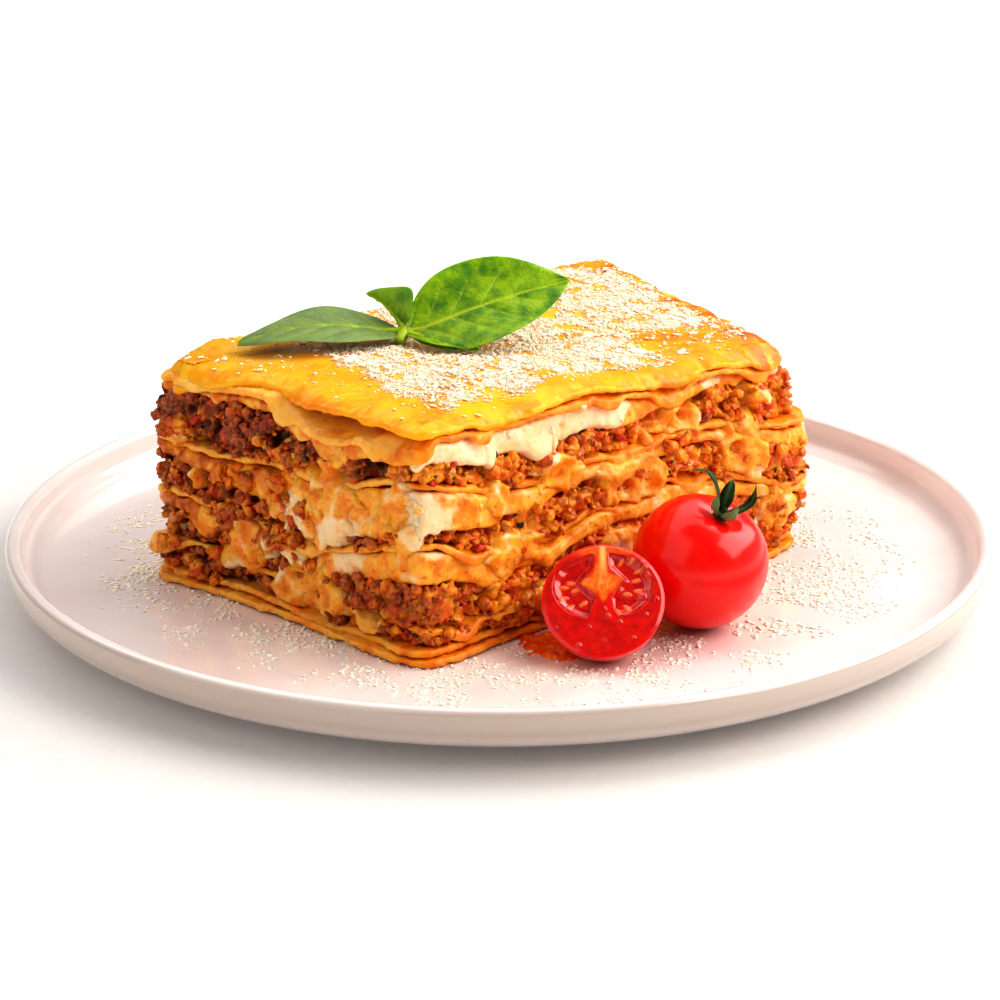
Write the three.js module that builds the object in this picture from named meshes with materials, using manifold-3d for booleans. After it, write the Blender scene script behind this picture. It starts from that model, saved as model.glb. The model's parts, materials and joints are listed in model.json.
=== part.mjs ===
// Plate of lasagna: a thick slice with seven pasta sheets, meat sauce and white sauce between them,
// on a flat rimmed plate, with a basil sprig on top and a whole and a halved cherry tomato beside it.
// Millimetres, +Z up. The origin is the centre of the plate's foot, on the surface it stands on,
// and the slice's front corner points towards -Y.
import * as THREE from 'three';
import { mergeVertices } from 'three/addons/utils/BufferGeometryUtils.js';
import Module from 'manifold-3d';

const wasm = await Module();
wasm.setup();

// Plate
const plateRadius = 120;
const plateHeight = 15.5;
const wellFloor = 7;
const wallThickness = 3.8;
const bowlStart = 98;
const undersideHeight = 1.8;
const bowlTop = 12;
const footInner = 67;
const footOuter = 72;
const footRecess = 1.5;
const filletRadius = 5.5;
const plateSegments = 48;

// Slice: its corners in plan, and what keeps touching pieces apart
const corners = [[-80, -16], [-17, -76], [68, 4], [26, 64]];
const pointsOnSide = [12, 15, 10, 15];
const cornerRounding = 1.4;
const gap = 0.4;
const edgeBand = 6;
const deepInset = 12;
const sheetThickness = 1.6;
// The pocket of air that opens under the top sheet at the left face: depth, place round the outline,
// half-width in sides and how far in it reaches
const pocket = { depth: 4.4, place: 0.72, spread: 0.17, reach: 9 };
const edgePocketDepth = 0.4;
const hiddenPocketDepth = 2.2;

// Cherry tomatoes
const tomatoRadius = 15.6;
const tomatoCentre = [45.5, -50.6, wellFloor + 15.7];
const tomatoAxis = [0.32, -0.23, 0.92];
const tomatoFlattening = 0.985;
const dimpleDepth = 1.9;
const halfRadius = 13.7;
const halfCentre = [22.8, -70.2, wellFloor + 13.9];
const halfFacing = [-0.06, -0.7, 0.71];
const fleshThickness = 2.4;
const seedPocketDepth = 3;

// Small pieces
const leafThickness = 0.7;
const flakeCount = 28;
const flakeSeed = 7;
const underBasil = { x: [-66, 24], y: [-26, 14] };

const finish = {
  glaze: new THREE.MeshStandardMaterial({ color: '#efe3dd', roughness: 0.22 }),
  pasta: new THREE.MeshStandardMaterial({ color: '#f2a41c', roughness: 0.4 }),
  meat: new THREE.MeshStandardMaterial({ color: '#a8481c', roughness: 0.55 }),
  whiteSauce: new THREE.MeshStandardMaterial({ color: '#f6e3bd', roughness: 0.4 }),
  leaf: new THREE.MeshStandardMaterial({ color: '#2f7a1c', roughness: 0.45 }),
  tomatoSkin: new THREE.MeshStandardMaterial({ color: '#d8140a', roughness: 0.18 }),
  tomatoGel: new THREE.MeshStandardMaterial({ color: '#e8541c', roughness: 0.2 }),
  calyx: new THREE.MeshStandardMaterial({ color: '#2c4a1e', roughness: 0.6 }),
};

function seededRandom(seed) {
  let state = seed;
  return () => {
    state = (state + 0x6d2b79f5) | 0;
    let mixed = Math.imul(state ^ (state >>> 15), 1 | state);
    mixed = (mixed + Math.imul(mixed ^ (mixed >>> 7), 61 | mixed)) ^ mixed;
    return ((mixed ^ (mixed >>> 14)) >>> 0) / 4294967296;
  };
}

const mix = (from, to, share) => from + (to - from) * share;
const bump = (distance, spread) => Math.exp(-((distance / spread) ** 2));
const isBetween = (value, [low, high]) => value > low && value < high;

// A geometry with shared corner points and no triangle of zero area
function weld(geometry) {
  const bare = geometry.clone();
  bare.deleteAttribute('normal');
  bare.deleteAttribute('uv');
  const merged = mergeVertices(bare, 1e-4);
  const source = merged.index.array;
  const kept = [];
  for (let i = 0; i < source.length; i += 3) {
    const [a, b, c] = [source[i], source[i + 1], source[i + 2]];
    if (a !== b && b !== c && c !== a) kept.push(a, b, c);
  }
  merged.setIndex(kept);
  return merged;
}

function fromLists(points, triangles) {
  const geometry = new THREE.BufferGeometry();
  geometry.setAttribute('position', new THREE.Float32BufferAttribute(points.flat(), 3));
  geometry.setIndex(triangles.flat());
  return geometry;
}

function toSolid(geometry) {
  const closed = weld(geometry);
  const vertProperties = new Float32Array(closed.attributes.position.array);
  const triVerts = new Uint32Array(closed.index.array);
  return new wasm.Manifold(new wasm.Mesh({ numProp: 3, vertProperties, triVerts }));
}

function fromSolid(solid) {
  const { vertProperties, triVerts } = solid.getMesh();
  const geometry = new THREE.BufferGeometry();
  geometry.setAttribute('position', new THREE.BufferAttribute(vertProperties, 3));
  geometry.setIndex(new THREE.BufferAttribute(triVerts, 1));
  return geometry;
}

function addMesh(group, name, geometry, material) {
  const mesh = new THREE.Mesh(geometry, material);
  mesh.name = name;
  group.add(mesh);
}

// A profile of (radius, height) points turned round the Z axis
function turned(profile, segments) {
  const points = profile.map(([radius, height]) => new THREE.Vector2(radius, height));
  return weld(new THREE.LatheGeometry(points, segments).rotateX(Math.PI / 2));
}

// Points along an elliptical arc, with angles in degrees from the outward radius
function arc(centre, radii, fromDegrees, toDegrees, steps) {
  return Array.from({ length: steps + 1 }, (_, i) => {
    const angle = THREE.MathUtils.degToRad(mix(fromDegrees, toDegrees, i / steps));
    return [centre[0] + radii[0] * Math.cos(angle), centre[1] + radii[1] * Math.sin(angle)];
  });
}

function plateGeometry() {
  const lip = wallThickness / 2;
  const wallInner = plateRadius - wallThickness;
  const lipCentre = [plateRadius - lip, plateHeight - lip];
  const filletCentre = [wallInner - filletRadius, wellFloor + filletRadius];
  const bowl = [plateRadius - bowlStart, bowlTop - undersideHeight];
  return turned([
    [0, footRecess],
    [footInner - 1.5, footRecess],
    [footInner, 0],
    [footOuter, 0],
    [footOuter + 1.5, undersideHeight],
    ...arc([bowlStart, bowlTop], bowl, -90, 0, 4),
    ...arc(lipCentre, [lip, lip], 0, 180, 4),
    ...arc(filletCentre, [filletRadius, filletRadius], 0, -90, 3),
    [0, wellFloor],
  ], plateSegments);
}

// The slice's nominal outline, as rays: a point, its outward direction and its place along a side
function outlineRays() {
  const rays = [];
  corners.forEach((start, side) => {
    const end = corners[(side + 1) % 4];
    const before = corners[(side + 3) % 4];
    const along = new THREE.Vector2(end[0] - start[0], end[1] - start[1]);
    const incoming = new THREE.Vector2(start[0] - before[0], start[1] - before[1]).normalize();
    const length = along.length();
    along.normalize();
    const outward = new THREE.Vector2(along.y, -along.x);
    const atCorner = new THREE.Vector2(incoming.y, -incoming.x).add(outward).normalize();
    rays.push({
      x: start[0] - atCorner.x * cornerRounding,
      y: start[1] - atCorner.y * cornerRounding,
      outward: atCorner,
      inset: edgeBand * Math.SQRT2,
      place: side,
    });
    for (let i = 0; i < pointsOnSide[side]; i += 1) {
      const share = (i + 1) / (pointsOnSide[side] + 1);
      rays.push({
        x: start[0] + along.x * length * share,
        y: start[1] + along.y * length * share,
        outward,
        inset: edgeBand,
        place: side + share,
      });
    }
  });
  return rays;
}

const rays = outlineRays();
const rayCount = rays.length;

// Distance round the outline, in sides, from one place to another: the four sides close on themselves
function sidesBetween(place, other) {
  const apart = Math.abs(place - other) % 4;
  return Math.min(apart, 4 - apart);
}

function pointAtPlace(place, inset) {
  const side = Math.floor(place) % 4;
  const share = place - Math.floor(place);
  const [start, end] = [corners[side], corners[(side + 1) % 4]];
  const outward = new THREE.Vector2(end[1] - start[1], start[0] - end[0]).normalize();
  return [
    mix(start[0], end[0], share) - outward.x * inset,
    mix(start[1], end[1], share) - outward.y * inset,
  ];
}

// Heights of the top face, as place round the outline, inset from it and height above the table.
// Side 0 runs from the left corner to the front one, side 1 on to the right, side 2 to the back.
const topHeights = [
  [0.02, 0, 59.4], [0.1, 0, 59.4], [0.2, 0, 59.6], [0.3, 0, 61.5], [0.4, 0, 62.8], [0.5, 0, 62.8],
  [0.6, 0, 60.6], [0.7, 0, 62.4], [0.8, 0, 63], [0.9, 0, 62],
  [1, 0, 62], [1.12, 0, 61.7], [1.23, 0, 59.9], [1.3, 0, 61.4], [1.38, 0, 62.7], [1.46, 0, 61.6],
  [1.53, 0, 60.4], [1.6, 0, 57.6], [1.7, 0, 58.2], [1.78, 0, 60], [1.9, 0, 57.4],
  [2, 0, 57.2], [2.12, 0, 60.6], [2.27, 0, 59.2], [2.4, 0, 60], [2.6, 0, 61.2], [2.8, 0, 62.9],
  [3, 0, 65], [3.1, 0, 64], [3.2, 0, 64.2], [3.5, 0, 62.4], [3.65, 0, 62.8], [3.8, 0, 62],
  [3.9, 0, 63.8],
  [0.15, 9, 62.8], [0.35, 9, 63.6], [0.55, 9, 64.4], [0.8, 9, 63.8], [1.2, 9, 62.6],
  [1.4, 9, 63.8], [1.6, 9, 61.8], [1.85, 9, 61], [2.3, 9, 61], [2.7, 9, 62.8],
  [3.2, 9, 64.2], [3.7, 9, 63], [0.5, 32, 63.4], [1.5, 30, 62.6], [1.2, 34, 63.4],
];
const topReach = 8;

// Where each filling's depth is known: the left corner, the middle of the left face, the front
// corner, the middle of the right face, the right corner and the back corner
const depthPlaces = [0, 0.6, 1, 1.4, 2, 3];
const depthReach = 26;

// The stack from the plate up. A filling's depths are its shares at the six places above
const stack = [
  { name: 'pasta_sheet_1', kind: 'pasta', reach: 2.6 },
  { name: 'pasta_sheet_2', kind: 'pasta', reach: 1 },
  { name: 'meat_sauce_1', kind: 'meat', reach: -0.6, depths: [3.6, 3.4, 2.2, 2.8, 4.6, 4] },
  { name: 'pasta_sheet_3', kind: 'pasta', reach: 0.6 },
  { name: 'meat_sauce_2', kind: 'meat', reach: -0.6, depths: [6, 7, 8.6, 10.5, 8, 7] },
  { name: 'bechamel_1', kind: 'bechamel', reach: -0.2, depths: [2, 3.2, 6, 5.4, 4, 4] },
  { name: 'pasta_sheet_4', kind: 'pasta', reach: 0.6 },
  { name: 'meat_sauce_3', kind: 'meat', reach: -0.4, depths: [10, 3.2, 2.4, 8, 8, 7] },
  { name: 'bechamel_2', kind: 'bechamel', reach: 0, depths: [2, 8.6, 8.4, 3.4, 3, 4] },
  { name: 'pasta_sheet_5', kind: 'pasta', reach: 0.2 },
  { name: 'meat_sauce_4', kind: 'meat', reach: -0.8, depths: [12, 7, 5, 5.4, 10, 8] },
  { name: 'bechamel_3', kind: 'bechamel', reach: -0.4, depths: [1.6, 2, 6, 7, 3, 5] },
  { name: 'pasta_sheet_6', kind: 'pasta', reach: 1.2 },
  { name: 'pasta_sheet_7', kind: 'pasta', reach: 1.4 },
];

// Places where a layer stands out from the slice or is pulled in: layer numbers in the stack, place
// round the outline, half-width in sides and how far out
const bulges = [
  { from: 0, to: 10, place: 2, spread: 0.3, out: 4.6 },
  { from: 4, to: 9, place: 2.04, spread: 0.16, out: 5 },
  { from: 0, to: 10, place: 0, spread: 0.16, out: 2.6 },
  { from: 3, to: 3, place: 0.02, spread: 0.09, out: 3.2 },
  { from: 0, to: 1, place: 1, spread: 0.12, out: 1.6 },
  { from: 6, to: 6, place: 1.13, spread: 0.05, out: 3 },
  { from: 2, to: 5, place: 1.35, spread: 0.25, out: 2 },
  { from: 12, to: 12, place: 0.72, spread: 0.16, out: 2 },
  { from: 13, to: 13, place: 0.42, spread: 0.12, out: -3.6 },
  { from: 10, to: 10, place: 1.66, spread: 0.12, out: -2.4 },
];

const relief = {
  pasta: { rows: 0, wave: 0.9, rough: 0.25 },
  meat: { rows: 3, wave: 0.8, rough: 1.5 },
  bechamel: { rows: 1, wave: 0.9, rough: 0.6 },
};

// A smooth value from nearby named ones, each counting less the further away it is
function blended(x, y, places, reach) {
  let [total, weight] = [0, 0];
  for (const place of places) {
    const squared = (x - place.x) ** 2 + (y - place.y) ** 2;
    const share = Math.exp(-squared / (reach * reach)) + 1e-9 / (1 + squared);
    total += share * place.value;
    weight += share;
  }
  return total / weight;
}

const topPlaces = topHeights.map(([place, inset, value]) => {
  const [x, y] = pointAtPlace(place, inset);
  return { x, y, value };
});

const fillings = stack.filter((layer) => layer.kind !== 'pasta');
fillings.forEach((layer, number) => {
  const random = seededRandom(40 + number);
  layer.places = depthPlaces.map((place, i) => {
    const [x, y] = pointAtPlace(place, 4);
    return { x, y, value: layer.depths[i] };
  });
  layer.swell = [random(), random(), random()].map((phase) => phase * Math.PI * 2);
});

// How far a filling's depth swells and thins from place to place, as a factor
function swellAt(layer, x, y) {
  const [first, second, third] = layer.swell;
  const long = Math.sin(x / 9.5 + first) + Math.sin(y / 10.5 + second);
  return 1 + 0.15 * long + 0.14 * Math.sin((x + y) / 5.5 + third);
}

// The air under the top sheet: a pocket at the left face, and a little everywhere inside
function pocketAt(place, inset) {
  const across = bump(sidesBetween(place, pocket.place), pocket.spread);
  const open = pocket.depth * across * bump(inset, pocket.reach);
  const hidden = hiddenPocketDepth * THREE.MathUtils.smoothstep(inset, edgeBand, deepInset);
  return Math.max(open, edgePocketDepth + hidden);
}

// Heights of every layer's two faces over one point, from the plate up
function facesOver(x, y, place, inset) {
  const top = blended(x, y, topPlaces, topReach);
  const depths = fillings.map((layer) => blended(x, y, layer.places, depthReach) * swellAt(layer, x, y));
  const sheets = stack.length - fillings.length;
  const air = pocketAt(place, inset);
  const room = top - wellFloor - sheets * sheetThickness - stack.length * gap - air;
  const scale = room / depths.reduce((sum, depth) => sum + depth, 0);
  let height = wellFloor;
  let filling = 0;
  return stack.map((layer, number) => {
    height += gap + (number === stack.length - 1 ? air : 0);
    const bottom = height;
    height += layer.kind === 'pasta' ? sheetThickness : depths[filling] * scale;
    if (layer.kind !== 'pasta') filling += 1;
    return { bottom, top: height };
  });
}

for (const ray of rays) {
  ray.inner = [ray.x - ray.outward.x * ray.inset, ray.y - ray.outward.y * ray.inset];
  ray.innerFaces = facesOver(...ray.inner, ray.place, edgeBand);
  ray.outerFaces = facesOver(ray.x, ray.y, ray.place, 0);
}

// The two faces at a distance out from a ray's nominal point: straight lines from the inner ring, so
// that layers that reach out by different amounts stay clear of each other
function facesOnRay(ray, number, out) {
  const share = (ray.inset + out) / ray.inset;
  const [inner, outer] = [ray.innerFaces[number], ray.outerFaces[number]];
  return { bottom: mix(inner.bottom, outer.bottom, share), top: mix(inner.top, outer.top, share) };
}

const middle = corners.reduce((sum, [x, y]) => [sum[0] + x / 4, sum[1] + y / 4], [0, 0]);

function insidePoint(index, shrink) {
  const [x, y] = rays[index].inner;
  return [mix(middle[0], x, shrink), mix(middle[1], y, shrink)];
}

// Each ring inside the edge band: how far it shrinks towards the middle, and which rays it keeps
const coarseRings = [{ shrink: 0.5, every: 4 }];
const fineRings = [{ shrink: 0.75, every: 1 }, { shrink: 0.5, every: 2 }, { shrink: 0.25, every: 4 }];

// How far out each ray's edge stands, for one row of a layer's side
function edgeOffsets(number, row, rows) {
  const layer = stack[number];
  const { wave, rough } = relief[layer.kind];
  const waveRandom = seededRandom(900 + number * 13);
  const phases = [7, 11, 17].map((count) => ({ count, phase: waveRandom() * Math.PI * 2 }));
  const random = seededRandom(100 + number * 29 + row * 7);
  const belly = rows > 0 ? 0.7 * Math.sin((Math.PI * row) / (rows + 1)) : 0;
  return rays.map((ray) => {
    const turn = (ray.place / 4) * Math.PI * 2;
    const waves = phases.reduce((sum, { count, phase }) => sum + Math.sin(count * turn + phase), 0);
    const stands = bulges
      .filter(({ from, to }) => number >= from && number <= to)
      .reduce((sum, { place, spread, out }) => sum + out * bump(sidesBetween(ray.place, place), spread), 0);
    return layer.reach + belly + stands + (wave * waves) / 3 + rough * (random() * 2 - 1);
  });
}

// Triangles between a ring of outer points and one that keeps every 1st, 2nd or 4th of them
function stitch(outer, inner, flip) {
  const every = outer.length / inner.length;
  const triangles = [];
  const add = (a, b, c) => triangles.push(flip ? [a, c, b] : [a, b, c]);
  inner.forEach((point, i) => {
    const next = inner[(i + 1) % inner.length];
    const half = Math.floor(every / 2);
    for (let j = 0; j < every; j += 1) {
      const from = outer[i * every + j];
      const to = outer[(i * every + j + 1) % outer.length];
      add(from, to, j < Math.max(half, 1) ? point : next);
    }
    add(point, outer[(i * every + Math.max(half, 1)) % outer.length], next);
  });
  return triangles;
}

// One layer: an outer edge with rows of relief, and two faces closed by the rings inside
function layerGeometry(number, rings) {
  const { rows } = relief[stack[number].kind];
  const points = [];
  const triangles = [];
  const addPoint = (x, y, z) => points.push([x, y, z]) - 1;
  const edgeRows = Array.from({ length: rows + 2 }, (_, row) => {
    const offsets = edgeOffsets(number, row, rows);
    return rays.map((ray, i) => {
      const faces = facesOnRay(ray, number, offsets[i]);
      const [x, y] = [ray.x + ray.outward.x * offsets[i], ray.y + ray.outward.y * offsets[i]];
      return addPoint(x, y, mix(faces.bottom, faces.top, row / (rows + 1)));
    });
  });
  for (let row = 0; row <= rows; row += 1) {
    for (let i = 0; i < rayCount; i += 1) {
      const next = (i + 1) % rayCount;
      const [a, b] = [edgeRows[row][i], edgeRows[row][next]];
      const [c, d] = [edgeRows[row + 1][next], edgeRows[row + 1][i]];
      triangles.push([a, b, c], [a, c, d]);
    }
  }
  for (const face of ['bottom', 'top']) {
    const flip = face === 'bottom';
    const innerRing = rays.map((ray) => addPoint(...ray.inner, ray.innerFaces[number][face]));
    triangles.push(...stitch(edgeRows[flip ? 0 : rows + 1], innerRing, flip));
    let outer = innerRing;
    let taken = 1;
    for (const { shrink, every } of rings) {
      const ring = outer
        .map((_, i) => i * taken)
        .filter((index) => index % every === 0)
        .map((index) => {
          const [x, y] = insidePoint(index, shrink);
          return addPoint(x, y, facesOver(x, y, rays[index].place, deepInset)[number][face]);
        });
      triangles.push(...stitch(outer, ring, flip));
      outer = ring;
      taken = every;
    }
    const centre = addPoint(...middle, facesOver(...middle, 0, deepInset)[number][face]);
    outer.forEach((point, i) => {
      const next = outer[(i + 1) % outer.length];
      triangles.push(flip ? [centre, next, point] : [centre, point, next]);
    });
  }
  return fromLists(points, triangles);
}

// Flakes of grated cheese lying in the top sheet, kept off the strip under the basil
function cheeseFlakes() {
  const random = seededRandom(flakeSeed);
  const flakes = [];
  while (flakes.length < flakeCount) {
    const place = random() * 4;
    const inset = 9 + random() * 34;
    const [x, y] = pointAtPlace(place, inset);
    const top = facesOver(x, y, place, edgeBand)[stack.length - 1].top;
    const shaded = isBetween(x, underBasil.x) && isBetween(y, underBasil.y);
    if (!shaded) {
      const flake = new THREE.BoxGeometry(2 + random() * 1.8, 1 + random() * 0.6, 1.5);
      flake.rotateX(random() * 0.8 - 0.4).rotateZ(random() * Math.PI);
      flakes.push(toSolid(flake.translate(x, y, top + 0.15)));
    }
  }
  return flakes;
}

function topSheetGeometry() {
  const sheet = toSolid(layerGeometry(stack.length - 1, fineRings));
  return fromSolid(cheeseFlakes().reduce((whole, flake) => whole.add(flake), sheet));
}

// A leaf: its midrib runs from base to tip and arches by sag, and its blade has a width, a cup that
// lifts both rims and a tilt about the midrib
function leafGeometry({ base, tip, width, arch, cup, tilt, wave, seed, steps }) {
  const [lengthSteps, widthSteps] = steps;
  const start = new THREE.Vector3(...base);
  const along = new THREE.Vector3(...tip).sub(start);
  const length = along.length();
  const forward = along.clone().normalize();
  const level = new THREE.Vector3(0, 0, 1).cross(forward).normalize();
  const across = level.clone().applyAxisAngle(forward, THREE.MathUtils.degToRad(tilt));
  const normal = forward.clone().cross(across).normalize();
  const random = seededRandom(seed);
  const phase = random() * Math.PI * 2;
  const points = [];
  const addFace = (offset) => {
    for (let i = 0; i <= lengthSteps; i += 1) {
      const share = i / lengthSteps;
      const half = (width / 2) * Math.max(0.05, Math.sin(Math.PI * share ** 0.8) ** 0.75);
      for (let j = 0; j <= widthSteps; j += 1) {
        const side = (j / widthSteps) * 2 - 1;
        const lift = cup * half * side * side
          + arch * Math.sin(Math.PI * share)
          + wave * side * side * Math.sin(share * 11 + phase + side * 2);
        points.push(start.clone()
          .addScaledVector(forward, length * share)
          .addScaledVector(across, half * side)
          .addScaledVector(normal, lift + offset)
          .toArray());
      }
    }
  };
  addFace(leafThickness / 2);
  addFace(-leafThickness / 2);
  const perRow = widthSteps + 1;
  const under = (lengthSteps + 1) * perRow;
  const triangles = [];
  for (let i = 0; i < lengthSteps; i += 1) {
    for (let j = 0; j < widthSteps; j += 1) {
      const a = i * perRow + j;
      const [b, c, d] = [a + perRow, a + perRow + 1, a + 1];
      triangles.push([a, b, c], [a, c, d]);
      triangles.push([a + under, c + under, b + under], [a + under, d + under, c + under]);
    }
  }
  const rim = [];
  for (let i = 0; i < lengthSteps; i += 1) rim.push(i * perRow);
  for (let j = 0; j < widthSteps; j += 1) rim.push(lengthSteps * perRow + j);
  for (let i = lengthSteps; i > 0; i -= 1) rim.push(i * perRow + widthSteps);
  for (let j = widthSteps; j > 0; j -= 1) rim.push(j);
  rim.forEach((a, i) => {
    const b = rim[(i + 1) % rim.length];
    triangles.push([a, a + under, b + under], [a, b + under, b]);
  });
  return fromLists(points, triangles);
}

// The sprig's joint lies on the slice, and its leaves leave it in four directions
const sprigJoint = [-22.5, -12.5, 66.2];
const broad = { steps: [9, 4], cup: 0.2, arch: 1.6, wave: 0.5 };
const small = { steps: [5, 2], cup: 0.4, arch: 0.5, wave: 0.2 };
const leaves = [
  { ...broad, base: [-23, -13, 66.4], tip: [-60, -15.5, 66.4], width: 16, tilt: -7, seed: 3 },
  { ...broad, base: [-21.5, -14, 66.4], tip: [16.5, -5, 77.6], width: 23, tilt: 38, seed: 5 },
  { ...small, base: [-23, -11.5, 66.5], tip: [-27.4, -7, 77], width: 8.5, tilt: 30, seed: 8 },
  { ...small, base: [-22, -14, 66.4], tip: [-7.5, -20.5, 66], width: 8.5, tilt: 12, seed: 9 },
];

function basilGeometry() {
  const joint = new THREE.SphereGeometry(1.9, 10, 6).scale(1.3, 1, 0.9).translate(...sprigJoint);
  const parts = leaves.map((leaf) => toSolid(leafGeometry(leaf)));
  return fromSolid(parts.reduce((whole, leaf) => whole.add(leaf), toSolid(joint)));
}

const upright = new THREE.Vector3(0, 0, 1);

function turnTo(geometry, direction, centre) {
  const facing = new THREE.Vector3(...direction).normalize();
  geometry.applyQuaternion(new THREE.Quaternion().setFromUnitVectors(upright, facing));
  return geometry.translate(...centre);
}

// A round tomato, a little flattened, with a dimple where the stalk was
function tomatoGeometry() {
  const steps = 10;
  const profile = Array.from({ length: steps + 1 }, (_, i) => {
    const angle = Math.PI * (i / steps) - Math.PI / 2;
    const dimple = dimpleDepth * bump(Math.PI / 2 - angle, 0.3);
    return [tomatoRadius * Math.cos(angle), tomatoRadius * tomatoFlattening * Math.sin(angle) - dimple];
  });
  profile[0][0] = 0;
  profile[steps][0] = 0;
  return turnTo(turned(profile, 22), tomatoAxis, tomatoCentre);
}

const dimpleFloor = tomatoRadius * tomatoFlattening - dimpleDepth;

// Narrow sepals that arch out from a stalk stub and curl up at their tips
function calyxGeometry() {
  const stub = new THREE.CylinderGeometry(1, 1.7, 2.6, 8).rotateX(Math.PI / 2);
  let whole = toSolid(stub.translate(0, 0, dimpleFloor + 0.5 + 1.3));
  const random = seededRandom(21);
  const sepals = 5;
  for (let i = 0; i < sepals; i += 1) {
    const sepal = leafGeometry({
      base: [0.2, 0, dimpleFloor + 1.6],
      tip: [8 + random() * 2, 0, dimpleFloor + 4.5 + random() * 3],
      width: 2.3,
      arch: 0.4 - random() * 1.2,
      cup: 0.1,
      tilt: random() * 30 - 15,
      wave: 0.1,
      seed: 30 + i,
      steps: [4, 2],
    });
    whole = whole.add(toSolid(sepal.rotateZ((i / sepals) * Math.PI * 2 + random() * 0.4)));
  }
  return turnTo(fromSolid(whole), tomatoAxis, tomatoCentre);
}

// A seed pocket's outline in the cut face, from the flesh round it to the core: a curved bean
function seedPocketShape(side, shrink) {
  const outer = halfRadius - fleshThickness - shrink;
  const inner = 4.4 + shrink;
  const [from, to] = [-1.32 + shrink / 9, 1.12 - shrink / 9];
  const steps = 9;
  const shape = new THREE.Shape();
  const at = (radius, angle) => [side * radius * Math.cos(angle), radius * Math.sin(angle)];
  for (let i = 0; i <= steps; i += 1) {
    const angle = mix(from, to, i / steps);
    const [x, y] = at(outer, angle);
    if (i === 0) shape.moveTo(x, y);
    else shape.lineTo(x, y);
  }
  for (let i = steps; i >= 0; i -= 2) {
    const angle = mix(from, to, i / steps);
    shape.lineTo(...at(mix(inner, inner + 1.2, Math.sin(angle) ** 2), angle));
  }
  return shape;
}

function seedPocket(side, shrink, depth, top) {
  const geometry = new THREE.ExtrudeGeometry(seedPocketShape(side, shrink), {
    depth,
    bevelEnabled: false,
    curveSegments: 1,
  });
  return toSolid(geometry.translate(0, 0, top - depth));
}

// The half's cut face lies at height 0 of its own frame, with its ball below
function halfTomatoGeometry() {
  const steps = 7;
  const profile = Array.from({ length: steps + 1 }, (_, i) => {
    const angle = -Math.PI / 2 + (Math.PI / 2) * (i / steps);
    return [halfRadius * Math.cos(angle), halfRadius * tomatoFlattening * Math.sin(angle)];
  });
  profile[0][0] = 0;
  const ball = toSolid(turned([...profile, [0, 0]], 26));
  const pockets = [-1, 1].map((side) => seedPocket(side, 0, seedPocketDepth + 1, 1));
  return turnTo(fromSolid(pockets.reduce((whole, cut) => whole.subtract(cut), ball)), halfFacing, halfCentre);
}

// The wet pulp that fills one seed pocket, with its seeds standing out
function pulpGeometry(side) {
  const random = seededRandom(60 + side);
  let whole = seedPocket(side, 0.35, seedPocketDepth - 0.75, -0.4);
  const seeds = 5;
  for (let i = 0; i < seeds; i += 1) {
    const angle = mix(-1.05, 0.85, (i + 0.5) / seeds);
    const radius = 7.8 + (i % 2 ? 0.9 : -0.9) + random() * 0.4;
    const seed = new THREE.SphereGeometry(1, 6, 4).scale(1.5, 0.85, 0.5);
    seed.rotateZ(side * angle + (side < 0 ? Math.PI : 0));
    seed.translate(side * radius * Math.cos(angle), radius * Math.sin(angle), -0.42);
    whole = whole.add(toSolid(seed));
  }
  return turnTo(fromSolid(whole), halfFacing, halfCentre);
}

const group = new THREE.Group();
addMesh(group, 'plate', plateGeometry(), finish.glaze);
const layerFinish = { pasta: finish.pasta, meat: finish.meat, bechamel: finish.whiteSauce };
stack.slice(0, -1).forEach(({ name, kind }, number) => {
  addMesh(group, name, layerGeometry(number, coarseRings), layerFinish[kind]);
});
addMesh(group, stack[stack.length - 1].name, topSheetGeometry(), finish.pasta);
addMesh(group, 'basil_sprig', basilGeometry(), finish.leaf);
addMesh(group, 'cherry_tomato', tomatoGeometry(), finish.tomatoSkin);
addMesh(group, 'tomato_calyx', calyxGeometry(), finish.calyx);
addMesh(group, 'tomato_half', halfTomatoGeometry(), finish.tomatoSkin);
addMesh(group, 'tomato_pulp_left', pulpGeometry(-1), finish.tomatoGel);
addMesh(group, 'tomato_pulp_right', pulpGeometry(1), finish.tomatoGel);

export default group;
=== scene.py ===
import json
from itertools import product
from math import atan2, cos, pi, radians, sin

import bmesh
import bpy
import numpy as np
from bpy.props import FloatProperty, FloatVectorProperty, IntProperty, PointerProperty
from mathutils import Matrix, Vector
from mathutils.bvhtree import BVHTree

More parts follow.
